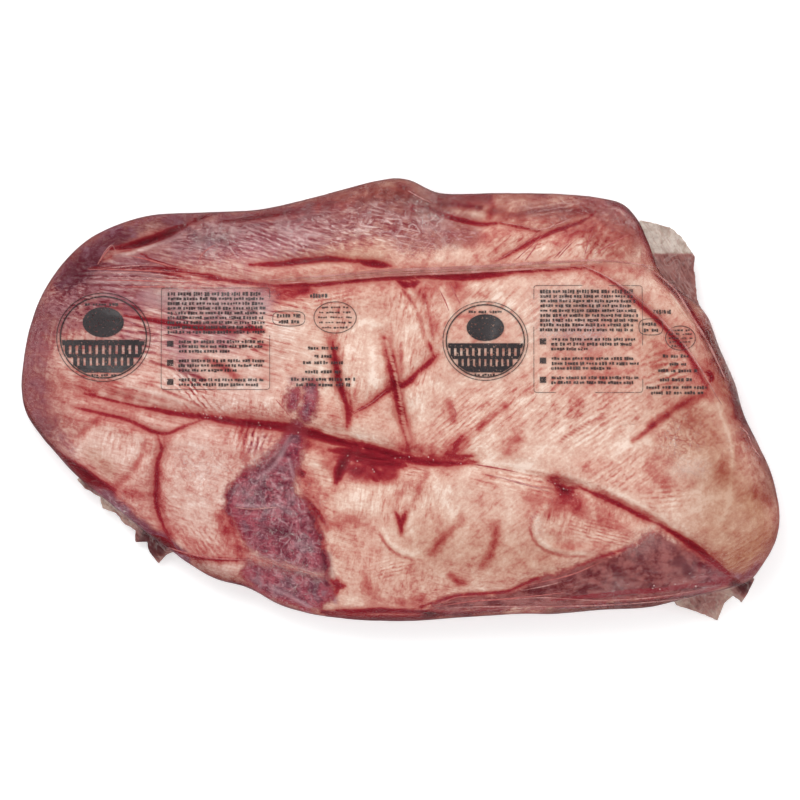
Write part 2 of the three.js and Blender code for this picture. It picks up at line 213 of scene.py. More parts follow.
# Soft tints of the meat: reach in steps, strength, places.
TINTS = {
    "flush": (
        (9, 1, ((340, 464), (358, 468), (392, 472))), (8, .8, ((352, 474), (384, 476))),
        (8, .9, ((462, 438), (452, 450), (446, 458))), (9, .6, ((300, 440), (318, 450), (330, 462))),
        (7, .7, ((165, 437), (160, 460), (158, 500), (168, 540))),
        (3.4, .5, ((98, 420), (86, 430), (74, 440))),
        (3.6, .5, ((147, 440), (141, 457), (131, 473), (118, 486))), (6, .4, ((126, 492), (150, 496))),
        (12, .4, ((45, 337), (42, 350))), (14, .35, ((36, 385), (44, 410))),
        (8, .35, ((58, 382), (87, 392), (125, 399))),
        (7, .5, ((124, 402), (170, 412), (240, 422), (300, 430))),
        (6, .3, ((84, 381), (120, 391), (147, 399))), (8, 1, ((262, 290), (290, 293), (306, 290))),
        (5, .5, ((272, 303), (300, 294))), (5, .5, ((330, 338), (333, 362))),
        (7, .3, ((389, 342), (391, 392))), (9, .35, ((424, 296), (432, 330))),
        (7, .6, ((452, 283), (461, 297))), (4, .8, ((478, 428), (490, 418), (504, 407))),
        (4, .7, ((449, 404), (453, 421))), (4.6, .7, ((460, 519), (442, 538), (428, 552))),
        (5, .75, ((496, 525), (492, 545), (482, 561))), (4.5, .7, ((450, 574), (457, 580), (463, 581))),
        (8, .5, ((340, 520), (358, 519))), (7, .5, ((600, 606), (660, 602))),
        (14, .35, ((650, 568), (700, 574))), (16, .2, ((655, 410), (650, 490))),
        (8, .45, ((365, 578), (373, 598))), (7, .5, ((402, 602), (420, 598))),
        (8, .6, ((300, 472), (304, 477))), (6, .75, ((305, 496), (325, 525))),
        (9, .65, ((224, 518), (232, 540), (248, 558))), (9, .4, ((176, 529), (195, 546), (216, 553))),
        (4, .45, ((242, 432), (246, 458))), (16, .25, ((600, 325), (585, 345))),
        (12, .3, ((570, 368), (600, 376))), (6, .5, ((661, 356), (650, 366))),
        (4.4, .8, ((702, 395), (678, 405), (648, 427))), (3, .8, ((650, 426), (640, 434), (630, 441))),
        (9, .4, ((717, 474), (722, 478))), (12, .45, ((530, 500), (570, 506), (600, 516))),
        (9, .3, ((600, 521), (622, 531))), (13, .8, ((704, 330), (726, 388), (746, 436))),
        (10, .5, ((641, 236), (650, 254))), (14, .3, ((596, 236), (612, 246))),
        (10, .5, ((296, 216), (340, 205), (404, 192))), (10, .35, ((560, 545), (600, 548))),
        (7, .5, ((515, 440), (505, 452))), (5, .4, ((395, 500), (410, 480))),
        (10, .3, ((690, 420), (710, 440))), (8, .3, ((250, 330), (266, 352), (268, 382))),
        (5, .5, ((214, 364), (226, 370), (240, 378))), (8, .45, ((70, 475), (96, 492), (120, 508))),
        (9, .5, ((395, 398), (410, 440))), (6, .5, ((436, 358), (424, 370))),
        (9, 1, ((552, 480), (572, 502))), (6, .6, ((600, 496), (640, 514), (664, 528))),
        (8, .4, ((300, 436), (330, 445))), (6, .45, ((336, 346), (336, 384))),
        (10, .8, ((404, 450), (440, 459))), (8, .6, ((690, 548), (715, 560))),
        (4, .5, ((426, 473), (418, 490), (412, 504))), (9, .8, ((436, 198), (466, 202), (484, 200))),
        (5, .5, ((488, 214), (530, 222), (560, 218), (590, 206))), (12, .5, ((590, 214), (626, 236))),
        (9, .6, ((560, 240), (590, 226))), (7, .6, ((466, 244), (490, 236), (520, 232))),
        (4, .9, ((488, 198), (492, 212), (486, 222))), (5, .7, ((590, 202), (606, 208), (622, 222))),
        (5, .9, ((222, 222), (270, 216), (330, 205))), (5, .8, ((326, 210), (345, 208))),
        (4, .7, ((400, 186), (420, 200))), (7, .6, ((428, 240), (446, 236), (466, 230))),
        (8, .3, ((640, 300), (672, 336), (700, 378))), (12, .25, ((150, 300), (200, 300), (250, 300))),
        (10, .35, ((455, 292), (425, 288))), (9, .3, ((690, 478), (660, 486))),
        (9, .35, ((350, 292), (330, 289))), (7, .35, ((270, 280), (400, 272), (500, 268), (654, 268))),
    ),
    "mauve": (
        (27, .95, ((180, 240), (230, 240), (290, 236), (340, 224), (400, 214), (425, 212))),
        (14, .9, ((110, 298), (180, 300), (262, 302))), (18, .5, ((400, 236), (440, 230), (470, 212))),
        (15, .9, ((84, 286), (112, 272), (150, 262))), (30, .55, ((70, 310), (150, 340), (240, 320))),
        (14, .9, ((410, 222), (440, 232), (470, 236))), (12, .6, ((600, 215), (632, 230), (640, 250))),
        (10, .4, ((486, 204), (500, 214), (560, 214))), (20, .6, ((410, 240), (444, 236))),
        (12, .5, ((530, 210), (560, 208), (590, 206))), (20, .75, ((38, 330), (34, 370), (38, 410))),
        (20, .75, ((70, 285), (60, 305))), (12, .5, ((50, 430), (70, 452))),
        (10, .6, ((100, 285), (150, 276))), (13, .5, ((180, 318), (180, 350), (190, 372))),
        (16, .35, ((225, 300), (225, 345))), (6, .6, ((290, 380), (313, 380))),
        (8, .9, ((100, 494), (120, 510), (142, 530))), (6, .4, ((434, 612), (520, 608))),
        (10, .5, ((252, 448), (262, 440))), (8, .5, ((238, 486), (246, 476))),
        (14, .5, ((690, 592), (730, 580), (764, 550))), (12, .55, ((632, 214), (600, 204))),
    ),
    "plum": (
        (13, .85, ((62, 284), (75, 268), (95, 250), (118, 236))),
        (11, .7, ((118, 236), (150, 224), (186, 217))), (13, .8, ((78, 276), (92, 262))),
        (11, 1, ((142, 534), (160, 545), (182, 558))), (8, .8, ((104, 497), (120, 511), (140, 528))),
        (9, .5, ((560, 585), (590, 580))), (5, .7, ((556, 609), (610, 606), (660, 601), (700, 594))),
        (8, .35, ((238, 216), (300, 206), (350, 192))), (7, .5, ((262, 532), (284, 540))),
        (8, .45, ((480, 606), (540, 596))), (9, .6, ((190, 236), (214, 244), (222, 238))),
        (10, .5, ((735, 588), (756, 572))), (8, .6, ((328, 556), (334, 600))),
        (7, .5, ((684, 280), (692, 296))),
    ),
    "cream": (
        (24, .65, ((292, 324), (302, 356))), (22, .55, ((362, 332), (364, 376))),
        (26, .75, ((140, 374), (180, 380), (262, 384))), (24, .6, ((220, 330), (262, 342))),
        (14, .95, ((314, 450), (324, 452))), (16, .95, ((352, 496), (372, 500))),
        (24, .35, ((448, 500), (462, 520))), (16, .7, ((680, 470), (692, 468))),
        (14, .6, ((416, 398), (410, 430))), (20, .7, ((396, 492), (420, 498))),
        (24, .5, ((404, 330), (436, 360))), (9, .6, ((484, 212), (490, 212))),
        (14, .5, ((422, 492), (436, 500))), (8, .5, ((346, 428), (362, 438))),
        (16, .7, ((410, 526), (420, 546))), (20, .6, ((488, 446), (504, 468), (500, 496))),
        (24, .6, ((646, 498), (700, 506), (740, 526))), (9, .6, ((206, 566), (226, 572))),
        (12, .4, ((330, 366), (334, 400))), (6, .6, ((540, 520), (545, 535))),
        (24, .7, ((96, 446), (112, 454), (134, 456))), (26, .55, ((600, 440), (630, 440), (650, 425))),
        (26, .4, ((540, 446), (570, 436))), (30, .4, ((200, 452), (205, 500))),
        (22, .4, ((188, 530), (206, 540))),
    ),
    "painted_shade": (  # painted shade, mostly along the rim where the top slopes away
        (26, .7, ((34, 326), (32, 380), (44, 430))),
        (30, .8, ((56, 304), (90, 264), (140, 244), (200, 232))),
        (18, .8, ((220, 226), (300, 210), (350, 198), (400, 192), (424, 200))),
        (18, .45, ((450, 206), (520, 210), (600, 218), (632, 236))),
        (15, .7, ((712, 340), (736, 395), (760, 455), (770, 490))), (30, .4, ((90, 300), (150, 288))),
        (9, 1, ((550, 612), (600, 610), (650, 605), (700, 596))), (9, .5, ((430, 616), (500, 612))),
        (12, .5, ((200, 566), (232, 584))), (16, .4, ((590, 244), (640, 262))),
        (12, .5, ((690, 300), (710, 340))),
    ),
    "sheen": (  # folds of film that catch the light
        (2.2, .8, ((238, 505), (258, 507), (281, 506))), (2.2, .9, ((258, 478), (276, 464), (289, 440))),
        (2, .7, ((270, 589), (287, 596), (299, 603), (311, 608))),
        (2.2, .7, ((246, 545), (256, 555), (272, 562), (294, 569), (316, 574))),
        (2, .7, ((289, 459), (294, 483), (292, 500))),
        (6, .5, ((378, 186), (396, 184), (414, 190), (428, 198))),
        (2.4, .8, ((116, 256), (130, 255), (150, 248), (180, 237))),
        (2, .7, ((91, 274), (134, 274), (163, 278))), (2, .7, ((89, 283), (134, 283), (177, 284))),
        (3, .7, ((410, 290), (418, 305), (423, 322), (428, 340))),
        (3, .6, ((440, 290), (446, 304), (452, 318))), (4, .5, ((352, 330), (365, 322), (380, 326))),
        (2, 1, ((386, 343), (391, 360), (395, 378), (398, 396), (402, 420), (411, 450))),
        (4, .6, ((348, 350), (346, 372))), (4, .5, ((372, 350), (374, 385))),
        (3.4, .7, ((268, 281), (330, 278), (400, 273), (500, 268), (600, 264), (654, 268))),
        (9, .6, ((150, 298), (190, 299), (262, 303))), (3, .6, ((478, 462), (520, 466), (556, 475))),
        (3, .7, ((383, 528), (389, 540), (402, 550), (412, 553))),
        (3, .7, ((546, 503), (537, 515), (534, 528), (541, 541), (556, 549), (580, 551))),
        (3, .8, ((690, 350), (704, 378), (716, 402))),
        (4, .7, ((672, 296), (690, 322), (706, 350), (722, 384))),
        (4, .9, ((650, 232), (656, 250), (664, 266))), (2, .8, ((540, 578), (560, 573), (580, 569))),
        (5, .5, ((610, 455), (640, 440), (670, 452))), (2, .6, ((110, 388), (140, 398), (180, 410))),
        (2, .6, ((130, 386), (160, 394), (200, 408))), (2, .6, ((160, 386), (180, 394), (206, 404))),
        (2, .6, ((100, 394), (128, 402), (150, 406))), (2.4, .6, ((324, 432), (345, 440), (362, 448))),
        (2.4, .7, ((712, 400), (722, 430), (727, 450), (725, 480), (723, 505), (717, 518))),
        (4, .6, ((676, 466), (694, 472), (700, 478))),
        (3, .6, ((560, 474), (600, 486), (640, 506), (670, 526))),
        (3, .5, ((600, 540), (630, 528), (650, 526))), (7, .7, ((636, 550), (652, 544), (668, 544))),
        (6, .4, ((650, 566), (680, 562))), (2, .6, ((500, 607), (540, 608), (584, 608))),
        (2, .7, ((530, 590), (556, 580), (580, 574))), (2.4, .6, ((436, 610), (480, 603), (520, 600))),
    ),
    "shade": (  # creases between the folds
        (6, .8, ((267, 530), (290, 535))), (4, .9, ((310, 512), (319, 533), (324, 557), (326, 584))),
        (3, .7, ((234, 484), (228, 500), (232, 524), (240, 548))),
        (2.4, .7, ((266, 470), (283, 450), (296, 430))), (2.2, .7, ((256, 560), (290, 572), (318, 580))),
        (1.8, .8, ((89, 270), (109, 270), (149, 274), (189, 278))),
        (1.8, .7, ((94, 286), (134, 287), (177, 289))), (1.8, .7, ((171, 240), (191, 246), (206, 251))),
        (1.8, .7, ((60, 300), (75, 285), (92, 276))), (2, .8, ((140, 319), (160, 323), (195, 328))),
        (6, .7, ((200, 328), (234, 332))), (2, .9, ((152, 362), (170, 368), (190, 374), (206, 381))),
        (3.5, .7, ((206, 359), (218, 364), (230, 372), (238, 381))),
        (2, .6, ((85, 305), (110, 308), (135, 312))), (1.8, .6, ((150, 384), (176, 395), (204, 409))),
        (5, .8, ((388, 384), (400, 384), (410, 380))), (3, .7, ((386, 350), (388, 372))),
        (3, .8, ((400, 345), (402, 372))), (5, .7, ((400, 284), (412, 287))),
        (2, .7, ((403, 292), (412, 304), (420, 322))), (2, .6, ((424, 296), (429, 318), (433, 340))),
        (2, .7, ((340, 362), (342, 384), (350, 400), (350, 424))), (6, .5, ((750, 496), (764, 503))),
        (7, .6, ((692, 364), (704, 384), (712, 398))),
        (2, .9, ((420, 606), (450, 598), (500, 593), (530, 582), (570, 571), (600, 564))),
        (2.4, .9, ((556, 598), (590, 600), (610, 593), (650, 591), (690, 589), (722, 581))),
        (2.4, .8, ((424, 616), (460, 614), (500, 611))), (2, .7, ((600, 556), (618, 550), (640, 543))),
        (3, .6, ((560, 588), (590, 590))), (1.8, .7, ((380, 534), (388, 546), (400, 555), (412, 558))),
        (1.8, .6, ((541, 508), (531, 516), (529, 530), (537, 545), (555, 554), (582, 556))),
        (2.4, 1, ((322, 613), (360, 612), (400, 611), (430, 613), (470, 616))),
        (2, .8, ((500, 598), (540, 588), (560, 584))), (2.4, .7, ((205, 240), (240, 243), (290, 238))),
        (2.4, .7, ((240, 228), (290, 222), (330, 214))), (2.4, .6, ((300, 248), (350, 240), (400, 232))),
        (2.4, .7, ((330, 226), (370, 214), (402, 196))), (3, .6, ((410, 196), (402, 216), (392, 236))),
        (3, .6, ((500, 222), (540, 212), (590, 212))), (2.4, .9, ((606, 203), (626, 212), (640, 228))),
        (3, .6, ((628, 222), (642, 240), (654, 262))), (2.4, .6, ((690, 590), (706, 592), (724, 584))),
        (5, .7, ((716, 572), (740, 578), (756, 566))),
        (2, .8, ((600, 417), (582, 425), (570, 433), (559, 441))),
        (3, .8, ((440, 203), (460, 206), (480, 210))), (2.4, .6, ((96, 262), (90, 284), (84, 300))),
        (5, .6, ((200, 574), (225, 582), (250, 592))),
        (7, .9, ((66, 462), (80, 474), (98, 487), (110, 492))),
        (5, .8, ((148, 536), (164, 546), (186, 562))), (4, .6, ((136, 530), (160, 548), (184, 563))),
    ),
    # Tanned, browner fat; at the right end, where the pack curves away, the deeper brown is partly painted
    # shade.
    "tan": (
        (40, .7, ((690, 430), (712, 460), (716, 530))), (26, .6, ((752, 500), (758, 535), (744, 562))),
        (14, .6, ((712, 340), (730, 400), (748, 436))), (12, .6, ((744, 500), (750, 508))),
        (22, .8, ((735, 570), (762, 545))), (12, .5, ((660, 270), (684, 310))),
        (10, .45, ((560, 306), (600, 310))), (34, .4, ((430, 545), (540, 560))),
        (10, .4, ((95, 455), (110, 470))), (9, .4, ((716, 474), (722, 480))),
        (18, .3, ((640, 330), (660, 370))), (12, .4, ((280, 252), (380, 256))),
        (10, .5, ((50, 318), (48, 330))),
    ),
}

# Streaks of juice in the fat run three ways: reach in steps, strength, places.
STREAKS = {
    "along": (  # a little down towards the thick end
        (34, 1, ((70, 300), (150, 320), (260, 330))), (26, .5, ((60, 365), (130, 385), (210, 392))),
        (24, 1, ((180, 245), (260, 242), (340, 232), (400, 226))),
        (16, .7, ((90, 275), (200, 280), (300, 300))), (14, .5, ((480, 478), (540, 486))),
        (30, .35, ((320, 200), (400, 215))), (20, .4, ((430, 590), (560, 590))),
        (26, .6, ((640, 560), (700, 575))), (14, .6, ((540, 590), (640, 585))),
        (20, .3, ((280, 350), (300, 380))), (14, .6, ((300, 428), (420, 470))),
        (10, .6, ((60, 480), (120, 515))), (14, .4, ((250, 560), (320, 590))),
    ),
    "across": (  # up towards the thick end's far side
        (34, .5, ((450, 430), (500, 410), (545, 395))), (30, .4, ((590, 480), (640, 465))),
        (26, .4, ((560, 425), (600, 415))), (26, .6, ((510, 245), (600, 240))),
        (18, .25, ((420, 545), (460, 530))), (22, .4, ((655, 420), (700, 390))),
        (26, .25, ((560, 330), (650, 350))), (22, .5, ((480, 300), (540, 320))),
        (16, .3, ((590, 540), (650, 530))), (16, .5, ((440, 225), (410, 245))),
        (30, .3, ((700, 440), (740, 480))), (12, .5, ((270, 440), (300, 470))),
    ),
    "upright": (  # across the pack
        (16, .45, ((215, 400), (260, 405), (300, 410))), (20, .5, ((340, 310), (350, 380))),
        (24, .5, ((410, 300), (420, 390))), (26, .45, ((360, 500), (430, 500))),
        (20, .2, ((38, 340), (45, 400))), (22, .4, ((110, 440), (150, 460))),
        (20, .6, ((250, 480), (290, 530))), (22, .4, ((700, 340), (730, 400))),
        (24, .4, ((215, 520), (240, 560))), (30, .35, ((350, 570), (420, 580))),
        (22, .4, ((550, 520), (600, 520))),
    ),
}

# Gathers, where film and fat are drawn into fine parallel lines: place, reach along and across the lines in
# steps, heading of the lines in degrees anticlockwise, spacing in steps, strength.
GATHERS = (
    ((150, 278), (66, 13), -2, 5.2, 1), ((196, 396), (34, 15), -50, 5, .8),
    ((203, 543), (26, 20), -52, 4.6, .45), ((272, 240), (50, 20), -20, 4.6, .8),
    ((612, 481), (40, 18), 35, 5.6, .4), ((662, 496), (20, 15), 4, 5, .4),
    ((392, 567), (24, 11), 12, 3.4, .4), ((600, 532), (34, 12), -14, 3.6, .5),
    ((680, 288), (30, 18), -56, 3.6, .4), ((728, 380), (58, 9), -66, 4.4, .8),
    ((470, 424), (48, 34), 38, 4.2, .35), ((540, 482), (46, 10), -11, 4.4, .5),
    ((560, 210), (44, 13), 12, 4.4, .4), ((145, 340), (26, 22), -8, 6, .6),
    ((590, 585), (80, 14), 14, 4.4, .4), ((252, 440), (16, 20), 78, 6, .8),
    ((330, 300), (30, 8), 8, 4.4, .5), ((590, 250), (40, 14), 62, 9, .5),
    ((170, 500), (14, 13), -40, 4.6, .3), ((520, 607), (120, 7), 2, 3.4, .9),
    ((660, 372), (22, 20), 20, 6, .6), ((600, 420), (50, 30), 32, 5, .35),
    ((740, 560), (34, 20), 30, 4.4, .3), ((350, 385), (13, 30), 80, 7, .5),
    ((420, 310), (20, 30), 72, 7, .5), ((60, 340), (20, 50), 80, 6, .3),
)
# Crumpled film: place, reach in steps, strength.
CRUMPLES = (
    ((268, 490), 36, .85), ((290, 540), 40, .72), ((290, 588), 34, .4), ((425, 212), 22, .9),
    ((674, 438), 24, .8), ((616, 590), 14, 1), ((200, 238), 26, .75), ((300, 232), 30, .75),
    ((370, 212), 26, .8), ((300, 400), 16, .7), ((118, 510), 18, 1), ((200, 468), 36, .5),
    ((745, 440), 20, .7), ((680, 280), 24, .6), ((230, 242), 26, .7), ((350, 470), 16, .3),
    ((700, 588), 26, .7), ((330, 300), 20, .3), ((562, 492), 18, .2), ((420, 235), 30, .6),
    ((560, 205), 34, .6), ((620, 214), 20, .7), ((60, 440), 26, .5),
)
# Cloudy film: reach in steps, strength, places.
CLOUDS = (
    (12, .55, ((165, 296), (215, 300), (262, 300))), (12, .4, ((185, 308), (235, 312))),
    (9, .3, ((200, 240), (225, 236))), (7, .4, ((704, 316), (722, 352), (740, 398))),
    (7, .35, ((276, 450), (252, 462))), (7, .3, ((250, 560), (318, 577))),
    (8, .3, ((630, 548), (650, 532))), (13, .6, ((545, 300), (590, 304), (615, 308))),
    (14, .75, ((548, 328), (590, 334))), (8, .3, ((420, 210), (436, 218))),
    (8, .3, ((676, 470), (696, 468))), (12, .2, ((190, 460), (210, 470))),
    (5, .3, ((534, 516), (536, 530))),
)
# Where the film stands off the meat's side: reach in steps, how far in mm, places.
SLACK = (
    (26, .8, ((450, 614), (520, 612), (600, 608), (660, 602), (705, 594))),
    (18, .6, ((690, 300), (715, 335), (738, 392))),
    (16, 1, ((80, 482), (110, 505), (140, 528), (168, 552))), (14, .6, ((730, 586), (756, 572))),
    (14, .8, ((650, 240), (664, 274), (680, 292))), (14, .5, ((300, 612), (340, 618))),
)
# Raised folds of the film: half width in mm, places.
FOLDS = (
    (1.1, ((268, 281), (300, 279), (340, 276), (389, 272), (440, 270), (500, 267), (550, 264), (600, 262),
     (640, 266), (658, 269))),
    (.9, ((276, 285), (320, 282), (350, 280), (390, 277), (440, 275), (502, 272), (550, 269), (579, 267),
     (600, 264))),
    (.6, ((330, 279), (370, 276), (430, 273), (500, 269))),
    (.8, ((579, 267), (592, 272), (606, 279), (630, 295), (652, 313), (667, 329), (682, 346), (696, 366),
     (708, 386), (719, 405))),
    (.8, ((640, 266), (654, 274), (673, 290), (692, 321), (705, 342), (718, 368), (726, 386))),
    (.6, ((234, 507), (250, 509), (266, 508), (280, 507))),
    (.6, ((256, 556), (276, 562), (300, 569), (322, 574))),
    (.45, ((98, 266), (103, 256), (112, 246), (116, 252))),
    (.5, ((92, 274), (120, 274), (150, 275), (190, 280))), (.45, ((100, 279), (140, 279), (200, 283))),
    (.45, ((90, 271), (130, 267), (160, 266))), (.5, ((406, 191), (418, 198), (432, 205))),
    (.45, ((500, 224), (520, 227), (539, 231), (556, 226), (574, 218))),
    (.5, ((484, 474), (514, 481), (546, 491))), (.4, ((500, 478), (530, 486), (550, 488))),
    (.5, ((500, 600), (540, 597), (600, 600), (660, 596), (706, 588))),
    (.5, ((450, 607), (500, 606), (560, 606), (620, 604), (690, 598))),
    (.4, ((520, 590), (545, 585), (560, 581))), (.4, ((732, 424), (744, 432), (750, 446), (762, 462))),
)
# Thin lines of juice under the film: half width in mm, places.
RUNS = (
    (.5, ((98, 265), (105, 255), (112, 247))), (.45, ((198, 267), (202, 256), (210, 249), (217, 245))),
    (.7, ((128, 256), (149, 261), (170, 267), (200, 273))),
    (.6, ((88, 270), (130, 271), (165, 273), (209, 277))), (.45, ((100, 281), (150, 282), (209, 285))),
    (.55, ((120, 288), (160, 288), (212, 290))), (.45, ((276, 400), (284, 409), (292, 419))),
    (.7, ((168, 548), (190, 554), (212, 558), (254, 560))), (.5, ((386, 391), (370, 404), (352, 414))),
    (.55, ((539, 234), (515, 250), (494, 264))), (.45, ((540, 238), (527, 250), (513, 263))),
    (.5, ((537, 244), (530, 254), (523, 263))), (.5, ((567, 245), (560, 252), (552, 260))),
    (.45, ((573, 242), (564, 251), (556, 260))), (.4, ((591, 231), (586, 245), (582, 259))),
    (.6, ((627, 236), (610, 245), (592, 256))), (.5, ((449, 284), (454, 295), (459, 305))),
    (.45, ((439, 292), (444, 302), (448, 312))), (.55, ((470, 464), (490, 467), (516, 472))),
    (.7, ((252, 555), (270, 562), (290, 568), (321, 576))), (.5, ((528, 584), (570, 574), (600, 561))),
    (.6, ((432, 607), (470, 601), (510, 598), (562, 592))), (.45, ((650, 279), (668, 292), (686, 318))),
    (.5, ((436, 604), (455, 597), (482, 595))), (.45, ((450, 404), (455, 414), (449, 424))),
)
# Bubbles in the juice: path, how many, spread in steps.
BUBBLES = (
    (((204, 416), (220, 418)), 8, 2), (((150, 408), (300, 430)), 10, 3), (((395, 457), (460, 463)), 6, 3),
    (((334, 458), (388, 472)), 8, 6), (((188, 460), (206, 474)), 8, 9), (((624, 588), (690, 584)), 8, 4),
    (((548, 484), (574, 498)), 5, 5),
)


def place(x, y):
    """The drawing's place in metres."""
    return (x - MIDDLE[0]) * STEP, (MIDDLE[1] - y) * STEP


def linear(code):
    """A colour such as d7a594 as linear light."""
    parts = [int(code[i:i + 2], 16) / 255 for i in (0, 2, 4)]
    return tuple(p / 12.92 if p <= 0.04045 else ((p + 0.055) / 1.055) ** 2.4 for p in parts)


# ---------------------------------------------------------------------------------------------------------
# Curves and patches on the drawing
# ---------------------------------------------------------------------------------------------------------

def blend(first, second, t, start, end):
    """The place at t on the straight way from first, at start, to second, at end."""
    return (first * (end - t) + second * (t - start)) / (end - start)


def smooth(points, count, closed=False):
    """Evenly spaced places on a centripetal Catmull-Rom curve through the given ones."""
    points = np.array(points, float)
    if len(points) == 2 and not closed:
        return points[0] + np.linspace(0, 1, count)[:, None] * (points[1] - points[0])
    if closed:
        points = np.vstack([points[-1], points, points[:2]])
    else:
        points = np.vstack([2 * points[0] - points[1], points, 2 * points[-1] - points[-2]])
    knots = np.concatenate([[0], np.cumsum(np.linalg.norm(np.diff(points, axis=0), axis=1) ** 0.5)])
    drawn = []
    for i in range(1, len(points) - 2):
        t = np.linspace(knots[i], knots[i + 1], CURVE_STEPS, endpoint=False)[:, None]
        one, two, three = (
            blend(points[j], points[j + 1], t, knots[j], knots[j + 1]) for j in (i - 1, i, i + 1))
        left = blend(one, two, t, knots[i - 1], knots[i + 1])
        right = blend(two, three, t, knots[i], knots[i + 2])
        drawn.append(blend(left, right, t, knots[i], knots[i + 1]))
    drawn = np.vstack([*drawn, points[-2]])
    run = np.concatenate([[0], np.cumsum(np.linalg.norm(np.diff(drawn, axis=0), axis=1))])
    at = np.linspace(0, run[-1], count, endpoint=not closed)
    return np.stack([np.interp(at, run, drawn[:, axis]) for axis in (0, 1)], axis=1)


def beside(spots, path, reach):
    """The spots within reach of a path: their numbers, distances from it and shares of the way along it."""
    path = np.asarray(path, float)
    near = np.flatnonzero(((spots > path.min(0) - reach) & (spots < path.max(0) + reach)).all(1))
    gap = np.full(len(near), np.inf)
    along = np.zeros(len(near))
    for i, (start, end) in enumerate(zip(path[:-1], path[1:])):
        run = end - start
        share = np.clip(((spots[near] - start) @ run) / max(run @ run, 1e-9), 0, 1)
        away = np.linalg.norm(spots[near] - start - share[:, None] * run, axis=1)
        closer = away < gap
        gap[closer] = away[closer]
        along[closer] = (i + share[closer]) / (len(path) - 1)
    return near, gap, along


def fading(gap, reach):
    """1 where gap is nothing, falling to about a third at reach."""
    return np.exp(-(gap / reach) ** 2)


def mound(spots, at, reach):
    """1 at a place, falling to about a third at reach from it."""
    return np.exp(-((spots - at) ** 2).sum(1) / reach ** 2)


def bulge(along):
    """1 in the middle of a stroke, falling round towards its ends."""
    return np.sqrt(np.sin(np.pi * np.clip(along, 0.03, 0.97)))


def add_pool(depths, spots, path, half):
    """Raises depths to how far inside a stroke the spots lie, in steps."""
    near, gap, along = beside(spots, smooth(path, 24), half + FAR)
    depths[near] = np.maximum(depths[near], half * bulge(along) - gap)


def add_patch(depths, spots, outline):
    """Raises depths to how far inside an outline the spots lie, in steps."""
    ring = smooth(outline, 6 * len(outline), closed=True)
    ring = np.vstack([ring, ring[:1]])
    near, gap, _ = beside(spots, ring, FAR)
    inside = np.zeros(len(near), bool)
    x, y = spots[near].T
    for (ax, ay), (bx, by) in zip(ring[:-1], ring[1:]):
        if ay != by:
            inside ^= ((ay > y) != (by > y)) & (x < (bx - ax) * (y - ay) / (by - ay) + ax)
    depths[near] = np.maximum(depths[near], np.where(inside, gap, -gap))


def add_tint(values, spots, path, reach, strength):
    """Lays a soft stroke over values, none of which passes 1."""
    near, gap, _ = beside(spots, smooth(path, 14), 1.6 * reach)
    laid = strength * fading(gap, reach)
    values[near] = 1 - (1 - values[near]) * (1 - laid)


# ---------------------------------------------------------------------------------------------------------
# The form of the pack
# ---------------------------------------------------------------------------------------------------------

def smoothstep(value, low, high):
    share = np.clip((value - low) / (high - low), 0, 1)
    return share * share * (3 - 2 * share)


def shoulder(share):
    share = np.clip(share, 0, 1)
    return (1 - (1 - share) ** DOME_POWER) ** (1 / DOME_POWER)


def shell():
    """The pack's smooth form as rings from the rim to its middle line, over the top and under the bottom.

    Gives the points, the faces, and how far in from the rim each point is: above zero on top, below zero
    underneath. The two sides of a ring meet on the middle line and share their points there."""
    rim = np.array([place(x, y) for x, y in smooth(OUTLINE, ROUND_STEPS, closed=True)])
    turn = np.cos(2 * np.pi * np.arange(ROUND_STEPS) / ROUND_STEPS)
    start, end = (np.array(place(*p)) for p in SPINE)
    spine = start + ((1 - turn) / 2)[:, None] * (end - start)
    top_shares = (np.arange(TOP_RINGS + 1) / TOP_RINGS) ** TOP_CROWDING
    heel_shares = (np.arange(1, HEEL_RINGS + 1) / HEEL_RINGS) ** HEEL_CROWDING
    shares = np.concatenate([top_shares, heel_shares])
    points, inward = [], []
    for number, share in enumerate(shares):
        plan = rim + share * (spine - rim)
        run = np.linalg.norm(plan - rim, axis=1)
        full = THIN_END + (THICK_END - THIN_END) * smoothstep(plan[:, 0], *THICKENING)
        base = RIM_SHARE * full
        top = number <= TOP_RINGS
        if top:
            height = base + (full - base) * shoulder(run / DOME_REACH)
        else:
            height = base * (1 - shoulder(run / HEEL_REACH))
        points.append(np.column_stack([plan, height]))
        inward.append(run if top else -run)
    numbers = np.arange(len(shares) * ROUND_STEPS).reshape(len(shares), ROUND_STEPS)
    half = np.minimum(np.arange(ROUND_STEPS), (ROUND_STEPS - np.arange(ROUND_STEPS)) % ROUND_STEPS)
    for last in (TOP_RINGS, len(shares) - 1):
        numbers[last] = numbers[last][half]
    over = numbers[:TOP_RINGS + 1]
    under = numbers[[0, *range(TOP_RINGS + 1, len(shares))]]
    faces = []
    for rings, order in ((over, (0, 3, 2, 1)), (under, (0, 1, 2, 3))):
        following = np.roll(rings, -1, axis=1)
        corners = rings[:-1], following[:-1], following[1:], rings[1:]
        faces.append(np.stack([corners[i] for i in order], axis=-1).reshape(-1, 4))
    points, inward, faces = np.vstack(points), np.concatenate(inward), np.vstack(faces)
    used, packed = np.unique(faces, return_inverse=True)
    return points[used], packed.reshape(faces.shape), inward[used]


def make_mesh(name, points, faces):
    """A smooth mesh. A face that names a point twice is left as a triangle."""
    mesh = bpy.data.meshes.new(name)
    clean = []
    for face in faces.tolist():
        corners = list(dict.fromkeys(face))
        if len(corners) > 2:
            clean.append(corners)
    mesh.from_pydata(points.tolist(), [], clean)
    mesh.validate()
    mesh.update()
    mesh.shade_smooth()
    return mesh


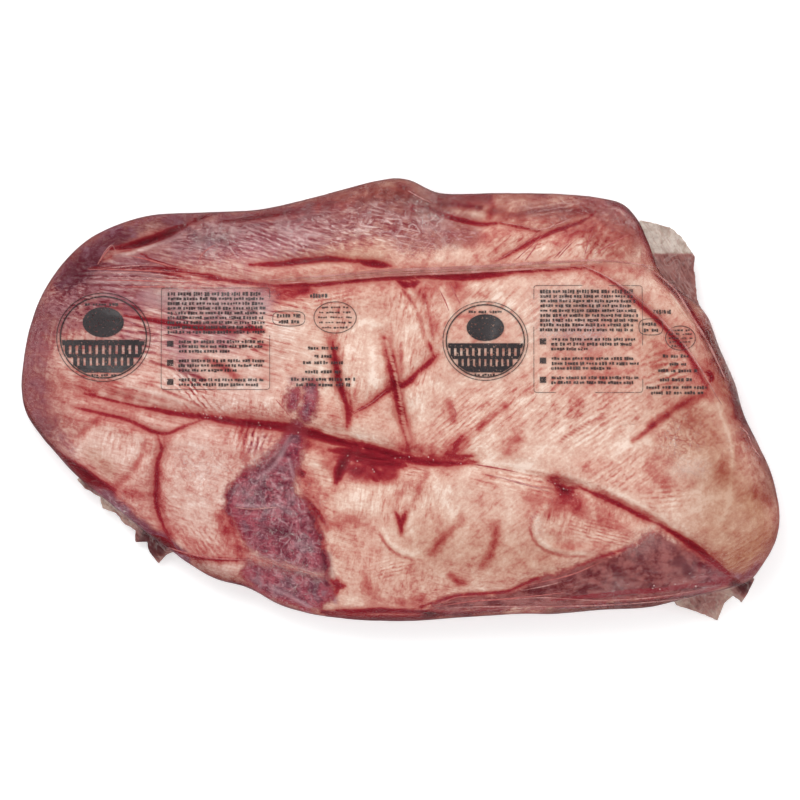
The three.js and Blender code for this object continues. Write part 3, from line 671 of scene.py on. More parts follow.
def plate_faces(rows, columns):
    """Faces of a closed plate, whose points are a grid, row by row, and then the grid of its other side."""
    numbers = np.arange((rows + 1) * (columns + 1)).reshape(rows + 1, columns + 1)
    a, b, c, d = (part.ravel() for part in (
        numbers[:-1, :-1], numbers[:-1, 1:], numbers[1:, 1:], numbers[1:, :-1]))
    border = np.concatenate([numbers[0], numbers[1:, -1], numbers[-1, -2::-1], numbers[-2:0:-1, 0]])
    following = np.roll(border, -1)
    other = numbers.size
    return np.vstack([np.column_stack(corners) for corners in (
        (a, b, c, d), (a + other, d + other, c + other, b + other),
        (border, border + other, following + other, following))])


def normals_of(mesh):
    values = np.zeros(3 * len(mesh.vertices), np.float32)
    mesh.vertex_normals.foreach_get("vector", values)
    return values.reshape(-1, 3).astype(float)


def store(mesh, **layers):
    """Stores layers of numbers on the mesh's points: a number for each point, or one for all."""
    for name, values in layers.items():
        numbers = np.broadcast_to(values, len(mesh.vertices)).astype(np.float32)
        mesh.attributes.new(name, "FLOAT", "POINT").data.foreach_set("value", numbers)


def fractal(points, size, octaves=3):
    """Uneven noise between about -1 and 1, with features of a size in metres."""
    return np.array([noise.fractal(Vector(p) / size, 0.7, 2.1, octaves) for p in points])


def relief_of(spots, depth_share=1, spread=1):
    """Height in metres that valleys, swellings, rolls and waves add.

    A smaller depth_share and a greater spread bridge the valleys, as the film does."""
    height = np.zeros(len(spots))
    for width, depth, _, path in CREASES:
        half = width * spread
        near, gap, along = beside(spots, smooth(path, 30), 4 * half)
        valley = fading(gap, half) - LIP * fading(gap - LIP_PLACE * half, half)
        height[near] -= depth * MM * depth_share * bulge(along) * valley
    for at, reach, rise in SWELLS:
        height += rise * MM * mound(spots, at, reach)
    for half, rise, path in ROLLS:
        near, gap, along = beside(spots, smooth(path, 20), 3 * half)
        height[near] += rise * MM * bulge(along) * fading(gap, half)
    for length, heading, rise in WAVES:
        way = np.array([math.cos(math.radians(heading)), -math.sin(math.radians(heading))])
        plan = (spots - MIDDLE) @ way * STEP
        height += rise * MM * np.sin(2 * np.pi * plan / (length * MM))
    return height


def gathers_of(spots):
    """How far across its gather's lines each spot is, in spacings, and how strong the gather is there."""
    phase, strength = np.zeros(len(spots)), np.zeros(len(spots))
    for at, (reach_along, reach_across), heading, spacing, weight in GATHERS:
        c, s = math.cos(math.radians(heading)), math.sin(math.radians(heading))
        run, off = ((spots - at) @ np.array(way) for way in ((c, -s), (s, c)))
        here = weight * np.exp(-(run / reach_along) ** 2 - (off / reach_across) ** 2)
        stronger = here > strength
        phase[stronger] = off[stronger] / spacing
        strength[stronger] = here[stronger]
    return phase, strength


def crumple_of(spots):
    values = np.zeros(len(spots))
    for at, reach, strength in CRUMPLES:
        values = 1 - (1 - values) * (1 - strength * mound(spots, at, reach))
    return values


def spots_of(points):
    """Places on the drawing of points in metres."""
    return np.column_stack([points[:, 0] / STEP + MIDDLE[0], MIDDLE[1] - points[:, 1] / STEP])


_forms = {}


def form():
    """The smooth form with the meat's and the film's heights over it, worked out once."""
    if not _forms:
        points, faces, inward = shell()
        mesh = make_mesh("smooth form", points, faces)
        normals = normals_of(mesh)
        bpy.data.meshes.remove(mesh)
        spots = spots_of(points)
        on_top = np.where(inward > 0, shoulder(inward / (DOME_REACH / 2)), 0)
        gap = bpy.context.scene.brisket_film.gap
        ragged = fractal(points, 9 * MM) * 0.35 * MM
        meat = relief_of(spots) * on_top + ragged * (0.3 + 0.7 * on_top)
        bridge = relief_of(spots, FILM_DEPTH, FILM_SPREAD) * on_top
        phase, gather = gathers_of(spots)
        crumple = crumple_of(spots)
        side = fading(inward, PUCKER_REACH)
        around = np.arctan2(points[:, 1] * LENGTH / (HIGH.y - LOW.y), points[:, 0])
        uneven = 2.5 * np.sin(9 * around) + 1.7 * fractal(points, 60 * MM)
        pucker = np.abs(np.sin(PUCKERS / 2 * around + uneven)) ** 3
        film = np.maximum(meat, bridge) + gap + pucker * side * WRINKLE
        film += crumple * on_top * np.abs(fractal(points + 0.3, 5 * MM, 2)) * WRINKLE
        top = inward > 0
        _forms.update(points=points, faces=faces, inward=inward, normals=normals, spots=spots, meat=meat,
                      film=film, marks={"phase": phase, "gather": gather * top, "crumple": crumple * top})
    return _forms


# ---------------------------------------------------------------------------------------------------------
# Materials
# ---------------------------------------------------------------------------------------------------------

def rgba(colour):
    """A colour, or a colour's code, with full cover."""
    return (*(linear(colour) if isinstance(colour, str) else colour), 1)


class Nodes:
    """Short calls for the nodes of a tree. A value may be a number, a socket, a colour or its code."""

    def __init__(self, tree):
        self.tree = tree

    def add(self, kind, values=None, **settings):
        node = self.tree.nodes.new(kind)
        for key, value in settings.items():
            setattr(node, key, value)
        for key, value in (values or {}).items():
            socket = node.inputs[key]
            if isinstance(value, bpy.types.NodeSocket):
                self.tree.links.new(value, socket)
            elif socket.type == "RGBA":
                socket.default_value = rgba(value)
            else:
                socket.default_value = value
        return node

    def out(self, kind, values=None, **settings):
        """The first output of a new node."""
        return self.add(kind, values, **settings).outputs[0]

    def math(self, operation, *values):
        return self.out("ShaderNodeMath", dict(enumerate(values)), operation=operation)

    def times(self, a, b, more=None):
        """a times b, and more on top."""
        return self.math("MULTIPLY", a, b) if more is None else self.math("MULTIPLY_ADD", a, b, more)

    def plus(self, a, b):
        return self.math("ADD", a, b)

    def minus(self, a, b):
        return self.math("SUBTRACT", a, b)

    def most(self, a, b):
        return self.math("MAXIMUM", a, b)

    def least(self, a, b):
        return self.math("MINIMUM", a, b)

    def parts(self, vector):
        return self.add("ShaderNodeSeparateXYZ", {0: vector}).outputs


class Shader(Nodes):
    """A material's node tree."""

    def __init__(self, name):
        self.material = bpy.data.materials.new(name)
        self.material.use_nodes = True
        super().__init__(self.material.node_tree)
        self.tree.nodes.clear()
        self.object = self.add("ShaderNodeTexCoord").outputs["Object"]

    def mix(self, share, first, second, blend="MIX"):
        node = self.add("ShaderNodeMix", {0: share, 6: first, 7: second}, data_type="RGBA", blend_type=blend)
        node.clamp_factor = True
        return node.outputs[2]

    def step(self, value, low, high, top=1.0):
        """0 below low and top above high, with a soft way between."""
        values = {0: value, 1: low, 2: high, 4: top}
        return self.out("ShaderNodeMapRange", values, interpolation_type="SMOOTHSTEP")

    def moved(self, base, pattern, most):
        """base, moved up and down by a pattern from 0 to 1, by half of most at the most."""
        return self.times(self.minus(pattern, 0.5), most, base)

    def layers(self, tone, *layers):
        """Lays colours over a tone, each with the share that it covers."""
        for share, colour in layers:
            tone = self.mix(share, tone, colour)
        return tone

    def attribute(self, name):
        return self.add("ShaderNodeAttribute", attribute_name=name).outputs["Fac"]

    def turned(self, degrees, stretch):
        """Object coordinates turned about Z and stretched along the new X."""
        turned = self.out("ShaderNodeMapping", {0: self.object, "Rotation": (0, 0, math.radians(-degrees))})
        return self.out("ShaderNodeMapping", {0: turned, "Scale": (1 / stretch, 1, 1)})

    def noise(self, size, detail=3.0, vector=None, distortion=0.0, rough=0.55):
        """Noise from 0 to 1 with features of a size in metres."""
        return self.out("ShaderNodeTexNoise", {
            "Vector": vector or self.object, "Scale": 1 / size, "Detail": detail, "Roughness": rough,
            "Distortion": distortion})

    def ridge(self, noise):
        """0 along the lines where noise crosses its middle, and up to 1 away from them."""
        return self.math("ABSOLUTE", self.times(noise, 2.0, -1.0))

    def bump(self, height, metres):
        return self.out("ShaderNodeBump", {"Height": height, "Distance": metres, "Strength": 1.0})

    def body(self, values):
        return self.out("ShaderNodeBsdfPrincipled", values)

    def finish(self, shader):
        self.add("ShaderNodeOutputMaterial", {"Surface": shader})
        return self.material


def crinkle(s, scale=1.0):
    """Pale and dark strokes, 0 to 1, of gathered and crumpled film, the same on the film and on the fat."""
    wobble = s.times(s.noise(14 * MM, 2.0), 5.0, s.times(s.attribute("phase"), 2 * math.pi))
    wobble = s.times(s.noise(4.5 * MM, 2.0), 4.0, wobble)
    wave = s.math("SINE", wobble)
    broken = s.step(s.noise(5 * MM, 2.0, distortion=0.5), 0.34, 0.6)
    gathered = s.least(s.times(broken, s.times(s.attribute("gather"), 1.3)), 1.0)
    ridge = s.ridge(s.noise(21 * MM * scale, 1.5, distortion=1.2))
    kept = s.step(s.noise(10 * MM, 2.0), 0.4, 0.56)
    thin = s.step(s.ridge(s.noise(12 * MM * scale, 2.5, distortion=1.6)), 0.13, 0.0, 0.9)
    swirl = s.noise(17 * MM * scale, 3.5, distortion=1.0)
    patches = s.step(swirl, 0.5, 0.68, 0.5)
    crumple = s.attribute("crumple")
    folded = s.most(s.times(s.step(ridge, 0.13, 0.0), kept), patches)
    hollow = s.most(s.step(swirl, 0.44, 0.3), thin)
    # Pale strokes: painted highlights along the film's folds, with some of the film's own whitish cloud.
    pale = s.most(s.times(s.step(wave, 0.25, 0.95), gathered), s.times(folded, crumple))
    dark = s.most(s.times(s.step(wave, -0.2, -0.95), gathered), s.times(hollow, crumple))
    return pale, dark


def streaks(s, place_x):
    """Red streaks, and pale ones that are painted glints of film, each 0 to 1, running the way the fat was
    drawn.
    """
    red = pale = None
    right = s.step(place_x, -0.06, 0.02)
    left = s.minus(1.0, right)
    for name, heading, size, stretch, everywhere in (
            ("along", -13, 1.8 * MM, 12, s.times(left, 0.3)),
            ("across", 40, 2.9 * MM, 5, s.times(right, 0.2)), ("upright", 80, 2.2 * MM, 6, 0.0)):
        fibres = s.noise(size, 2.5, s.turned(heading, stretch), distortion=0.4)
        share = s.most(s.attribute(name), everywhere)
        reddish = s.times(s.step(fibres, 0.5, 0.71), share)
        # Pale streaks: painted glints of the film over the fat.
        whitish = s.times(s.step(fibres, 0.48, 0.32), share)
        red = reddish if red is None else s.most(red, reddish)
        pale = whitish if pale is None else s.most(pale, whitish)
    return red, pale


def meat_patterns(s):
    """Patterns that several tones of the meat share. red and pale are strokes, from 0 to 1."""
    x = s.parts(s.object)["X"]
    mottle = s.noise(9 * MM, 4.0, rough=0.6)
    red, pale = streaks(s, x)
    folded, creased = crinkle(s)
    red = s.most(s.most(red, s.times(creased, 0.9)), s.attribute("shade"))
    # pale: painted highlights of the film, with its whitish folds.
    return SimpleNamespace(
        x=x, mottle=mottle, red=red, pale=s.most(s.most(pale, folded), s.attribute("sheen")),
        broad=s.noise(42 * MM, 3.0, distortion=0.6), grain=s.noise(2.2 * MM, 3.0, distortion=0.6),
        uneven=s.times(mottle, 1.0, s.times(red, 0.5, -0.6)), rim=s.attribute("rim"))


def wetness(s, p):
    """How far inside standing juice a place is, in steps, with a ragged edge."""
    wet = s.moved(s.moved(s.attribute("juice"), p.grain, 2.0), p.mottle, 3.0)
    along = s.minus(s.noise(1.3 * MM, 2.0, s.turned(-12, 14)), 0.5)
    wet = s.times(along, s.step(wet, 0.0, 4.0, 9.0), wet)
    return s.times(p.red, 1.6, s.times(s.attribute("sheen"), -5.0, wet))


def redness_of(s, p, wet):
    """How red the fat is, from 0 for cream to 1 for standing juice."""
    redness = s.times(s.step(p.x, 0.02, -0.2), 0.08, 0.3)
    for pattern, weight in ((p.broad, 0.55), (p.mottle, 0.65), (p.grain, 0.4)):
        redness = s.moved(redness, pattern, weight)
    redness = s.times(s.attribute("cream"), -0.24, redness)
    redness = s.times(p.red, 0.46, s.most(redness, 0.0))
    # Paler under the painted highlights of the film.
    redness = s.most(s.times(p.pale, -0.32, redness), 0.0)
    stain = s.times(s.attribute("flush"), s.times(p.mottle, 1.6, 0.1))
    redness = s.times(stain, s.most(s.minus(0.8, redness), 0.0), redness)
    # Redder towards the rim: painted shade where the top slopes away.
    redness = s.times(p.rim, 0.16, redness)
    for low, high, limit in ((-5.0, 0.5, 0.5), (-1.2, 1.2, 0.76), (0.4, 3.2, 0.87), (2.8, 6.0, 0.95)):
        redness = s.times(s.step(wet, low, high), s.most(s.minus(limit, redness), 0.0), redness)
    return s.least(redness, 0.97)


def fat_tone(s, p, look, redness):
    """The fat's colour by its redness, browner where it is tanned, and with painted shade at the rim."""
    ramp = s.add("ShaderNodeValToRGB", {0: redness})
    stops = ((0.0, look.fat), (0.16, "e9c3b1"), (0.33, "d9a493"), (0.46, "c88073"), (0.58, "bb625a"),
             (0.7, "a3373a"), (0.82, look.stained), (0.92, "6e0f1c"), (1.0, "480a14"))
    while len(ramp.color_ramp.elements) < len(stops):
        ramp.color_ramp.elements.new(0.5)
    for element, (at, tone) in zip(ramp.color_ramp.elements, stops):
        element.position = at
        element.color = rgba(tone)
    # Tanned fat; the deeper brown at the right end is partly painted shade.
    tone = s.mix(s.attribute("tan"), ramp.outputs[0], "c3a089", "MULTIPLY")
    tone = s.mix(s.step(p.x, -0.05, -0.12), tone, "fbf9ff", "MULTIPLY")
    # Painted shade: darker towards the rim, where the top slopes away.
    return s.mix(p.rim, tone, "b99a93", "MULTIPLY")


def mauve_tone(s, p):
    """Thin fat with dull juice under it, bluer towards the thin end."""
    patches = s.step(p.mottle, 0.35, 0.65)
    bluish, rosy = s.mix(patches, "9a4d5a", "bb838b"), s.mix(patches, "8e4044", "ad7167")
    tone = s.mix(s.step(p.x, -0.12, 0.0), bluish, rosy)
    flecks = s.noise(2.6 * MM, 3.0, s.turned(-16, 2.6), distortion=0.8)
    # The pale layer is painted highlights of the film, with its whitish folds.
    return s.layers(
        tone, (s.step(flecks, 0.55, 0.68, 0.55), "d2a9ad"), (s.step(flecks, 0.45, 0.32, 0.55), "6f2536"),
        (p.red, "741a2a"), (s.times(p.pale, 0.75), "dfbcba"))


def plum_tone(s, p):
    """Dark purple fat under dull film, mostly along the rim."""
    tone = s.mix(s.step(p.mottle, 0.4, 0.66), "6c2637", "8b5564")
    # The pale layer is painted highlights of the film.
    return s.layers(tone, (s.step(p.mottle, 0.54, 0.7), "a27a87"), (s.times(p.pale, 0.6), "bd949b"))


def muscle_tone(s, p, look):
    """Bare muscle: darker and bluer away from its red border, with pale film folded over it."""
    grey = s.step(s.noise(16 * MM, 2.0, distortion=1.0), 0.5, 0.6, 0.6)
    flecks = s.noise(3.2 * MM, 3.0, distortion=1.2)
    side = s.times(s.step(p.x, 0.0, 0.03), s.step(p.x, 0.26, 0.2, 0.8))
    brown = s.mix(s.step(p.mottle, 0.35, 0.65), "631e20", "a0625c")
    # The pale layer is the film's whitish folds, with painted highlights on them.
    return s.layers(
        s.mix(s.step(p.mottle, 0.36, 0.62), look.muscle, "ab535f"), (grey, "74505c"),
        (s.step(s.attribute("muscle"), 7.0, 0.5), "9a3340"), (s.step(flecks, 0.55, 0.7, 0.6), "cb959e"),
        (s.step(flecks, 0.45, 0.3, 0.6), "4f1428"), (s.times(p.pale, 0.75), "d8aab0"),
        (s.times(p.red, 0.85), "4c1024"), (side, brown))


def lean_tone(s, look):
    """The lean side and underside, below the fat cap, with seams of fat."""
    fibres = s.step(s.noise(2.4 * MM, 3.0, s.turned(8, 10)), 0.4, 0.64)
    seam = s.step(s.noise(16 * MM, 3.0, s.turned(20, 3)), 0.6, 0.68)
    return s.mix(s.times(seam, 0.75), s.mix(fibres, look.lean, "96515a"), "d3a492")


def meat_material(look):
    """Fat, bare muscle and the lean side, each laid over the last where its attribute says."""
    s = Shader("raw brisket")
    p = meat_patterns(s)
    wet = wetness(s, p)
    standing = s.step(wet, -0.3, 1.3)
    colour = fat_tone(s, p, look, redness_of(s, p, wet))

    for name, ragged, low, high, most, tone in (
            ("mauve", 0.8, 0.1, 0.95, 0.9, mauve_tone(s, p)),
            ("plum", 0.6, 0.25, 0.85, 0.95, plum_tone(s, p))):
        share = s.step(s.times(p.uneven, ragged, s.attribute(name)), low, high)
        colour = s.mix(s.times(s.minus(share, standing), most), colour, tone)
    # Painted shade: darker mostly along the rim, where the top slopes away from the light.
    shade_share = s.times(s.attribute("painted_shade"), s.plus(p.broad, s.minus(p.mottle, 0.1)))
    colour = s.mix(shade_share, colour, s.mix(s.step(p.x, -0.1, 0.0), "a9868c", "ab837c"), "MULTIPLY")

    edge = s.moved(s.moved(s.attribute("muscle"), p.mottle, 16.0), p.grain, 6.0)
    colour = s.mix(s.step(edge, -6.0, 0.0, 0.75), colour, "90323b")
    share = s.minus(s.step(edge, -1.5, 2.0), s.times(standing, 0.8))
    colour = s.mix(share, colour, muscle_tone(s, p, look))

    share = s.step(s.times(p.uneven, 0.5, s.attribute("lean")), 0.3, 0.7)
    colour = s.mix(share, colour, lean_tone(s, look))
    # A dark line round the rim: partly juice pooled there, partly painted shade on the steep side.
    colour = s.mix(s.step(p.rim, 0.76, 0.92, 0.7), colour, "45101c")
    height = s.times(s.attribute("sheen"), 0.5, p.mottle)
    return s.finish(s.body({
        "Base Color": colour, "Roughness": s.times(p.mottle, 0.2, 0.4), "Specular IOR Level": 0.03,
        "Normal": s.bump(height, 1.4 * MM)}))


def film_material(name, pale, deep, share, rough):
    """Clear film that mirrors light, cloudy where it is folded or doubled."""
    s = Shader(name)
    colour = s.mix(s.step(s.noise(14 * MM, 2.0), 0.4, 0.6), pale, deep)
    lines, _ = crinkle(s)
    fine = s.noise(3.0 * MM, 3.0, distortion=0.8)
    broad = s.noise(12 * MM, 2.0)
    height = s.times(fine, 0.9, s.times(broad, 1.4))
    normal = s.bump(height, 1.2 * MM)
    mirror = s.out("ShaderNodeFresnel", {"IOR": 1.5, "Normal": normal})
    loose = s.times(lines, 0.5, s.times(s.attribute("crumple"), 0.3))
    mirror = s.times(loose, 0.06, s.least(s.minus(mirror, 0.039), 0.025))
    bent = s.ridge(s.noise(9 * MM, 2.0, distortion=1.6))
    glint = s.times(s.step(bent, 0.05, 0.0), s.attribute("crumple"))
    glint = s.times(glint, s.step(s.noise(6 * MM, 1.0), 0.45, 0.6))
    colour = s.mix(glint, colour, "f3e2de")
    gloss = s.out("ShaderNodeBsdfGlossy", {"Color": (1, 1, 1), "Roughness": rough, "Normal": normal})
    clear = s.out("ShaderNodeBsdfTransparent", {"Color": (1, 1, 1)})
    skin = s.out("ShaderNodeMixShader", {0: mirror, 1: clear, 2: gloss})
    cloud = s.body({"Base Color": colour, "Roughness": 0.35, "Specular IOR Level": 0.2, "Normal": normal})
    veil = s.times(s.step(fine, 0.25, 0.75), s.attribute("cloud"))
    # The film clouds a little along the crinkle's pale lines and the glints: painted highlights.
    veil = s.times(lines, 0.06, s.times(glint, 0.5, veil))
    veil = s.least(s.plus(veil, share), 0.95)
    return s.finish(s.out("ShaderNodeMixShader", {0: veil, 1: skin, 2: cloud}))


def spare_film_material(name):
    """Spare film: cloudy, with juice drawn in between its layers. The seal tail is paler."""
    s = Shader("spare film " + name)
    lines, creased = crinkle(s, 0.7)
    fine = s.noise(2.6 * MM, 3.0, distortion=0.8)
    streak = s.noise(1.6 * MM, 3.0, s.turned(-56, 8))
    stain = s.times(s.minus(streak, 0.5), 0.9, s.attribute("juicy"))
    wide = s.noise(11 * MM, 2.0, distortion=0.8)
    tone = s.mix(s.step(wide, 0.38, 0.62), "b39a88", "e2d2c4")
    if name != "seal_tail":
        tone = s.mix(0.7, tone, "cba48e")
    # The palest layer, along the crinkle's lines, is painted highlights on the ears' folds.
    tone = s.layers(
        tone, (s.step(stain, 0.0, 0.6), "a56a63"), (s.step(stain, 0.45, 1.1), "561a20"),
        (s.times(creased, 0.35), "7b4a44"), (s.times(lines, 0.35), "eadbd2"))
    cover = s.times(s.step(stain, 0.2, 0.8), 0.22, s.times(fine, 0.2, 0.64))
    return s.finish(s.body({
        "Base Color": tone, "Roughness": 0.3, "Normal": s.bump(s.plus(lines, fine), 0.6 * MM),
        "Specular IOR Level": 0.2, "Alpha": s.least(cover, 0.97)}))


def plain_wet_material(name, colour, dark, rough):
    s = Shader(name)
    uneven = s.noise(2.5 * MM, 3.0)
    tone = s.mix(s.step(uneven, 0.3, 0.7), colour, dark)
    return s.finish(s.body({"Base Color": tone, "Roughness": rough, "Normal": s.bump(uneven, 0.15 * MM)}))


def ink_material(name, ink, most):
    """Worn black ink that covers up to most: it is thin and broken where the film was stretched."""
    s = Shader(name)
    worn = s.noise(1.6 * MM, 3.0)
    broad = s.noise(14 * MM, 2.0)
    tone = s.mix(s.step(worn, 0.3, 0.7), ink, "3e3436")
    wear = s.plus(s.step(worn, 0.66, 0.52), s.times(broad, 0.4, -0.1))
    return s.finish(s.body({"Base Color": tone, "Roughness": 0.4, "Alpha": s.least(wear, most)}))


# ---------------------------------------------------------------------------------------------------------
# Geometry nodes
# ---------------------------------------------------------------------------------------------------------

class Tree(Nodes):
    """A geometry node tree with named inputs, whose result is laid on its Surface object."""

    def __init__(self, name, **more):
        super().__init__(bpy.data.node_groups.new(name, "GeometryNodeTree"))
        inputs = {"Geometry": "Geometry", "Surface": "Object", "Lift": "Float", **more}
        for title, kind in (*inputs.items(), ("Material", "Material")):
            self.tree.interface.new_socket(name=title, in_out="INPUT", socket_type="NodeSocket" + kind)
        self.tree.interface.new_socket(name="Geometry", in_out="OUTPUT", socket_type="NodeSocketGeometry")
        self.inputs = self.tree.nodes.new("NodeGroupInput").outputs

    def combine(self, x, y, z):
        return self.out("ShaderNodeCombineXYZ", {0: x, 1: y, 2: z})

    def number(self, name):
        return self.out("GeometryNodeInputNamedAttribute", {"Name": name}, data_type="FLOAT")

    def laid_on(self, geometry):
        """Drops the geometry straight down on the Surface object, keeping its own heights above it."""
        surface = self.add(
            "GeometryNodeObjectInfo", {"Object": self.inputs["Surface"]}, transform_space="ORIGINAL")
        x, y, z = self.parts(self.out("GeometryNodeInputPosition"))
        ray = self.add("GeometryNodeRaycast", {
            "Target Geometry": surface.outputs["Geometry"], "Source Position": self.combine(x, y, 1.0),
            "Ray Direction": (0, 0, -1), "Ray Length": 2.0})
        lift = self.combine(0.0, 0.0, self.plus(z, self.inputs["Lift"]))
        to = self.out("ShaderNodeVectorMath", {0: ray.outputs["Hit Position"], 1: lift})
        return self.out("GeometryNodeSetPosition", {
            "Geometry": geometry, "Selection": ray.outputs["Is Hit"], "Position": to})

    def swept(self, profile, scale):
        """Sweeps a profile along the geometry's edges, upright on the surface."""
        paths = self.out("GeometryNodeMeshToCurve", {0: self.inputs["Geometry"]})
        upright = self.out("GeometryNodeSetCurveNormal", {0: self.laid_on(paths)}, mode="Z_UP")
        plain = self.out("GeometryNodeSetCurveRadius", {0: upright, "Radius": 1.0})
        return self.out("GeometryNodeCurveToMesh", {0: plain, 1: profile, "Scale": scale, "Fill Caps": True})

    def stamped(self, points, shape, scale):
        """A copy of a shape at each of the points."""
        return self.out("GeometryNodeInstanceOnPoints", {"Points": points, "Instance": shape, "Scale": scale})

    def finish(self, geometry, smooth_faces=True):
        real = self.out("GeometryNodeRealizeInstances", {0: geometry})
        shaded = self.out("GeometryNodeSetShadeSmooth", {0: real, "Shade Smooth": smooth_faces})
        dressed = self.out("GeometryNodeSetMaterial", {0: shaded, "Material": self.inputs["Material"]})
        self.tree.links.new(dressed, self.tree.nodes.new("NodeGroupOutput").inputs[0])
        return self.tree


def strand_tree(name):
    """Sweeps a rounded strip along each path, laid on a surface."""
    t = Tree(name, Sides="Int", Unevenness="Float", Seed="Float")
    ring = t.out("GeometryNodeCurvePrimitiveCircle", {"Resolution": t.inputs["Sides"], "Radius": 1.0})
    profile = t.out("GeometryNodeTransform", {"Geometry": ring, "Scale": (1.0, 0.6, 1.0)})
    moved = t.out("ShaderNodeVectorMath", {
        0: t.out("GeometryNodeInputPosition"), 1: t.combine(t.inputs["Seed"], 0.0, 0.0)})
    wobble = t.out("ShaderNodeTexNoise", {"Vector": moved, "Scale": 160.0, "Detail": 2.0})
    uneven = t.times(t.minus(wobble, 0.5), t.inputs["Unevenness"])
    return t.finish(t.swept(profile, t.times(t.number("half_width"), t.plus(uneven, 1.0))))


def run_tree(piece_name, tree, mesh, values):
    """Runs a tree on a mesh and keeps the result as a plain mesh in a new object."""
    carrier = bpy.data.objects.new(piece_name + "_rule", mesh)
    bpy.context.scene.collection.objects.link(carrier)
    modifier = carrier.modifiers.new("rule", "NODES")
    modifier.node_group = tree
    for item in tree.interface.items_tree:
        if item.in_out == "INPUT" and item.name in values:
            modifier[item.identifier] = values[item.name]
    graph = bpy.context.evaluated_depsgraph_get()
    graph.update()
    made = bpy.data.meshes.new_from_object(carrier.evaluated_get(graph), depsgraph=graph)
    carrier.modifiers.remove(modifier)
    bpy.data.objects.remove(carrier)
    if not made.polygons:
        raise RuntimeError(piece_name + " came out empty")
    return add_piece(piece_name, made)


def add_piece(name, mesh, material=None):
    piece = bpy.data.objects.new(name, mesh)
    mesh.name = name
    bpy.context.scene.collection.objects.link(piece)
    if material is not None:
        mesh.materials.append(material)
    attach(piece, BODY)
    return piece


def path_mesh(name, paths):
    """Edges along smooth paths, with each point's half width. A path is half width in mm and its places."""
    points, edges, halves = [], [], []
    for half, places in paths:
        length = np.linalg.norm(np.diff(np.array(places, float), axis=0), axis=1).sum()
        count = max(8, int(length / 1.5))
        first = len(points)
        for number, (x, y) in enumerate(smooth(places, count)):
            points.append((*place(x, y), 0))
            halves.append(half * MM * float(bulge(np.array(number / (count - 1)))))
        edges += [(i, i + 1) for i in range(first, len(points) - 1)]
    mesh = bpy.data.meshes.new(name)
    mesh.from_pydata(points, edges, [])
    store(mesh, half_width=halves)
    return mesh


# ---------------------------------------------------------------------------------------------------------
# Settings
# ---------------------------------------------------------------------------------------------------------

def colour_property(name, description, code):
    return FloatVectorProperty(
        name=name, description=description, subtype="COLOR", min=0, max=1, default=linear(code))


def length_property(name, description, default):
    return FloatProperty(name=name, description=description, default=default, min=0, unit="LENGTH")


class BrisketMeatSettings(bpy.types.PropertyGroup):
    """Sizes and colours of the meat"""
    fat: colour_property("Fat", "The palest fat", "fbe2d3")
    stained: colour_property("Stained fat", "Fat that is red with juice", "8e1d2a")
    muscle: colour_property("Muscle", "Bare muscle between the flaps of fat", "782036")
    lean: colour_property("Lean", "The lean side below the fat cap", "6d2833")
    juice: colour_property("Juice", "Thin juice", "a0343a")
    inset: length_property("Inset", "Gap between the meat and the solid's skin", 0.5 * MM)


class BrisketFilmSettings(bpy.types.PropertyGroup):
    """Sizes and looks of the bag"""
    gap: length_property("Gap", "Gap between the meat and the film", 0.45 * MM)
    roughness: FloatProperty(
        name="Roughness", description="How blurred the film's gloss is", default=0.12, min=0, max=1,
        subtype="FACTOR")
    cloud: colour_property("Cloud", "Film that is folded or doubled", "ead2cb")
    ear_thickness: length_property("Ear thickness", "Two layers of spare film", 0.6 * MM)


class BrisketPrintSettings(bpy.types.PropertyGroup):
    """Sizes and colour of the print"""
    ink: colour_property("Ink", "Black ink on the bag", "262022")
    line: length_property("Line", "Half width of a printed line", 0.35 * MM)
    thickness: length_property("Thickness", "Height of a printed block", 0.12 * MM)
    seed: IntProperty(name="Seed", description="Which blocks are wide and which narrow", default=7, min=0)


class BrisketStageSettings(bpy.types.PropertyGroup):
    """The camera, the floor and the light"""
    camera_height: length_property("Camera height", "Height of the camera above the floor", 5.0)
    field: length_property("Field", "Width that the camera sees at the rim's height", DRAWING_WIDTH)
    key_power: FloatProperty(
        name="Key light", description="Power of the large soft light", default=18, min=0, unit="POWER")
    fill: FloatProperty(name="Fill", description="Strength of the light from all round", default=0.87, min=0)
    floor_glow: FloatProperty(
        name="Floor glow", description="Light that comes through the floor", default=0.4, min=0)


# ---------------------------------------------------------------------------------------------------------
# Operators
# ---------------------------------------------------------------------------------------------------------

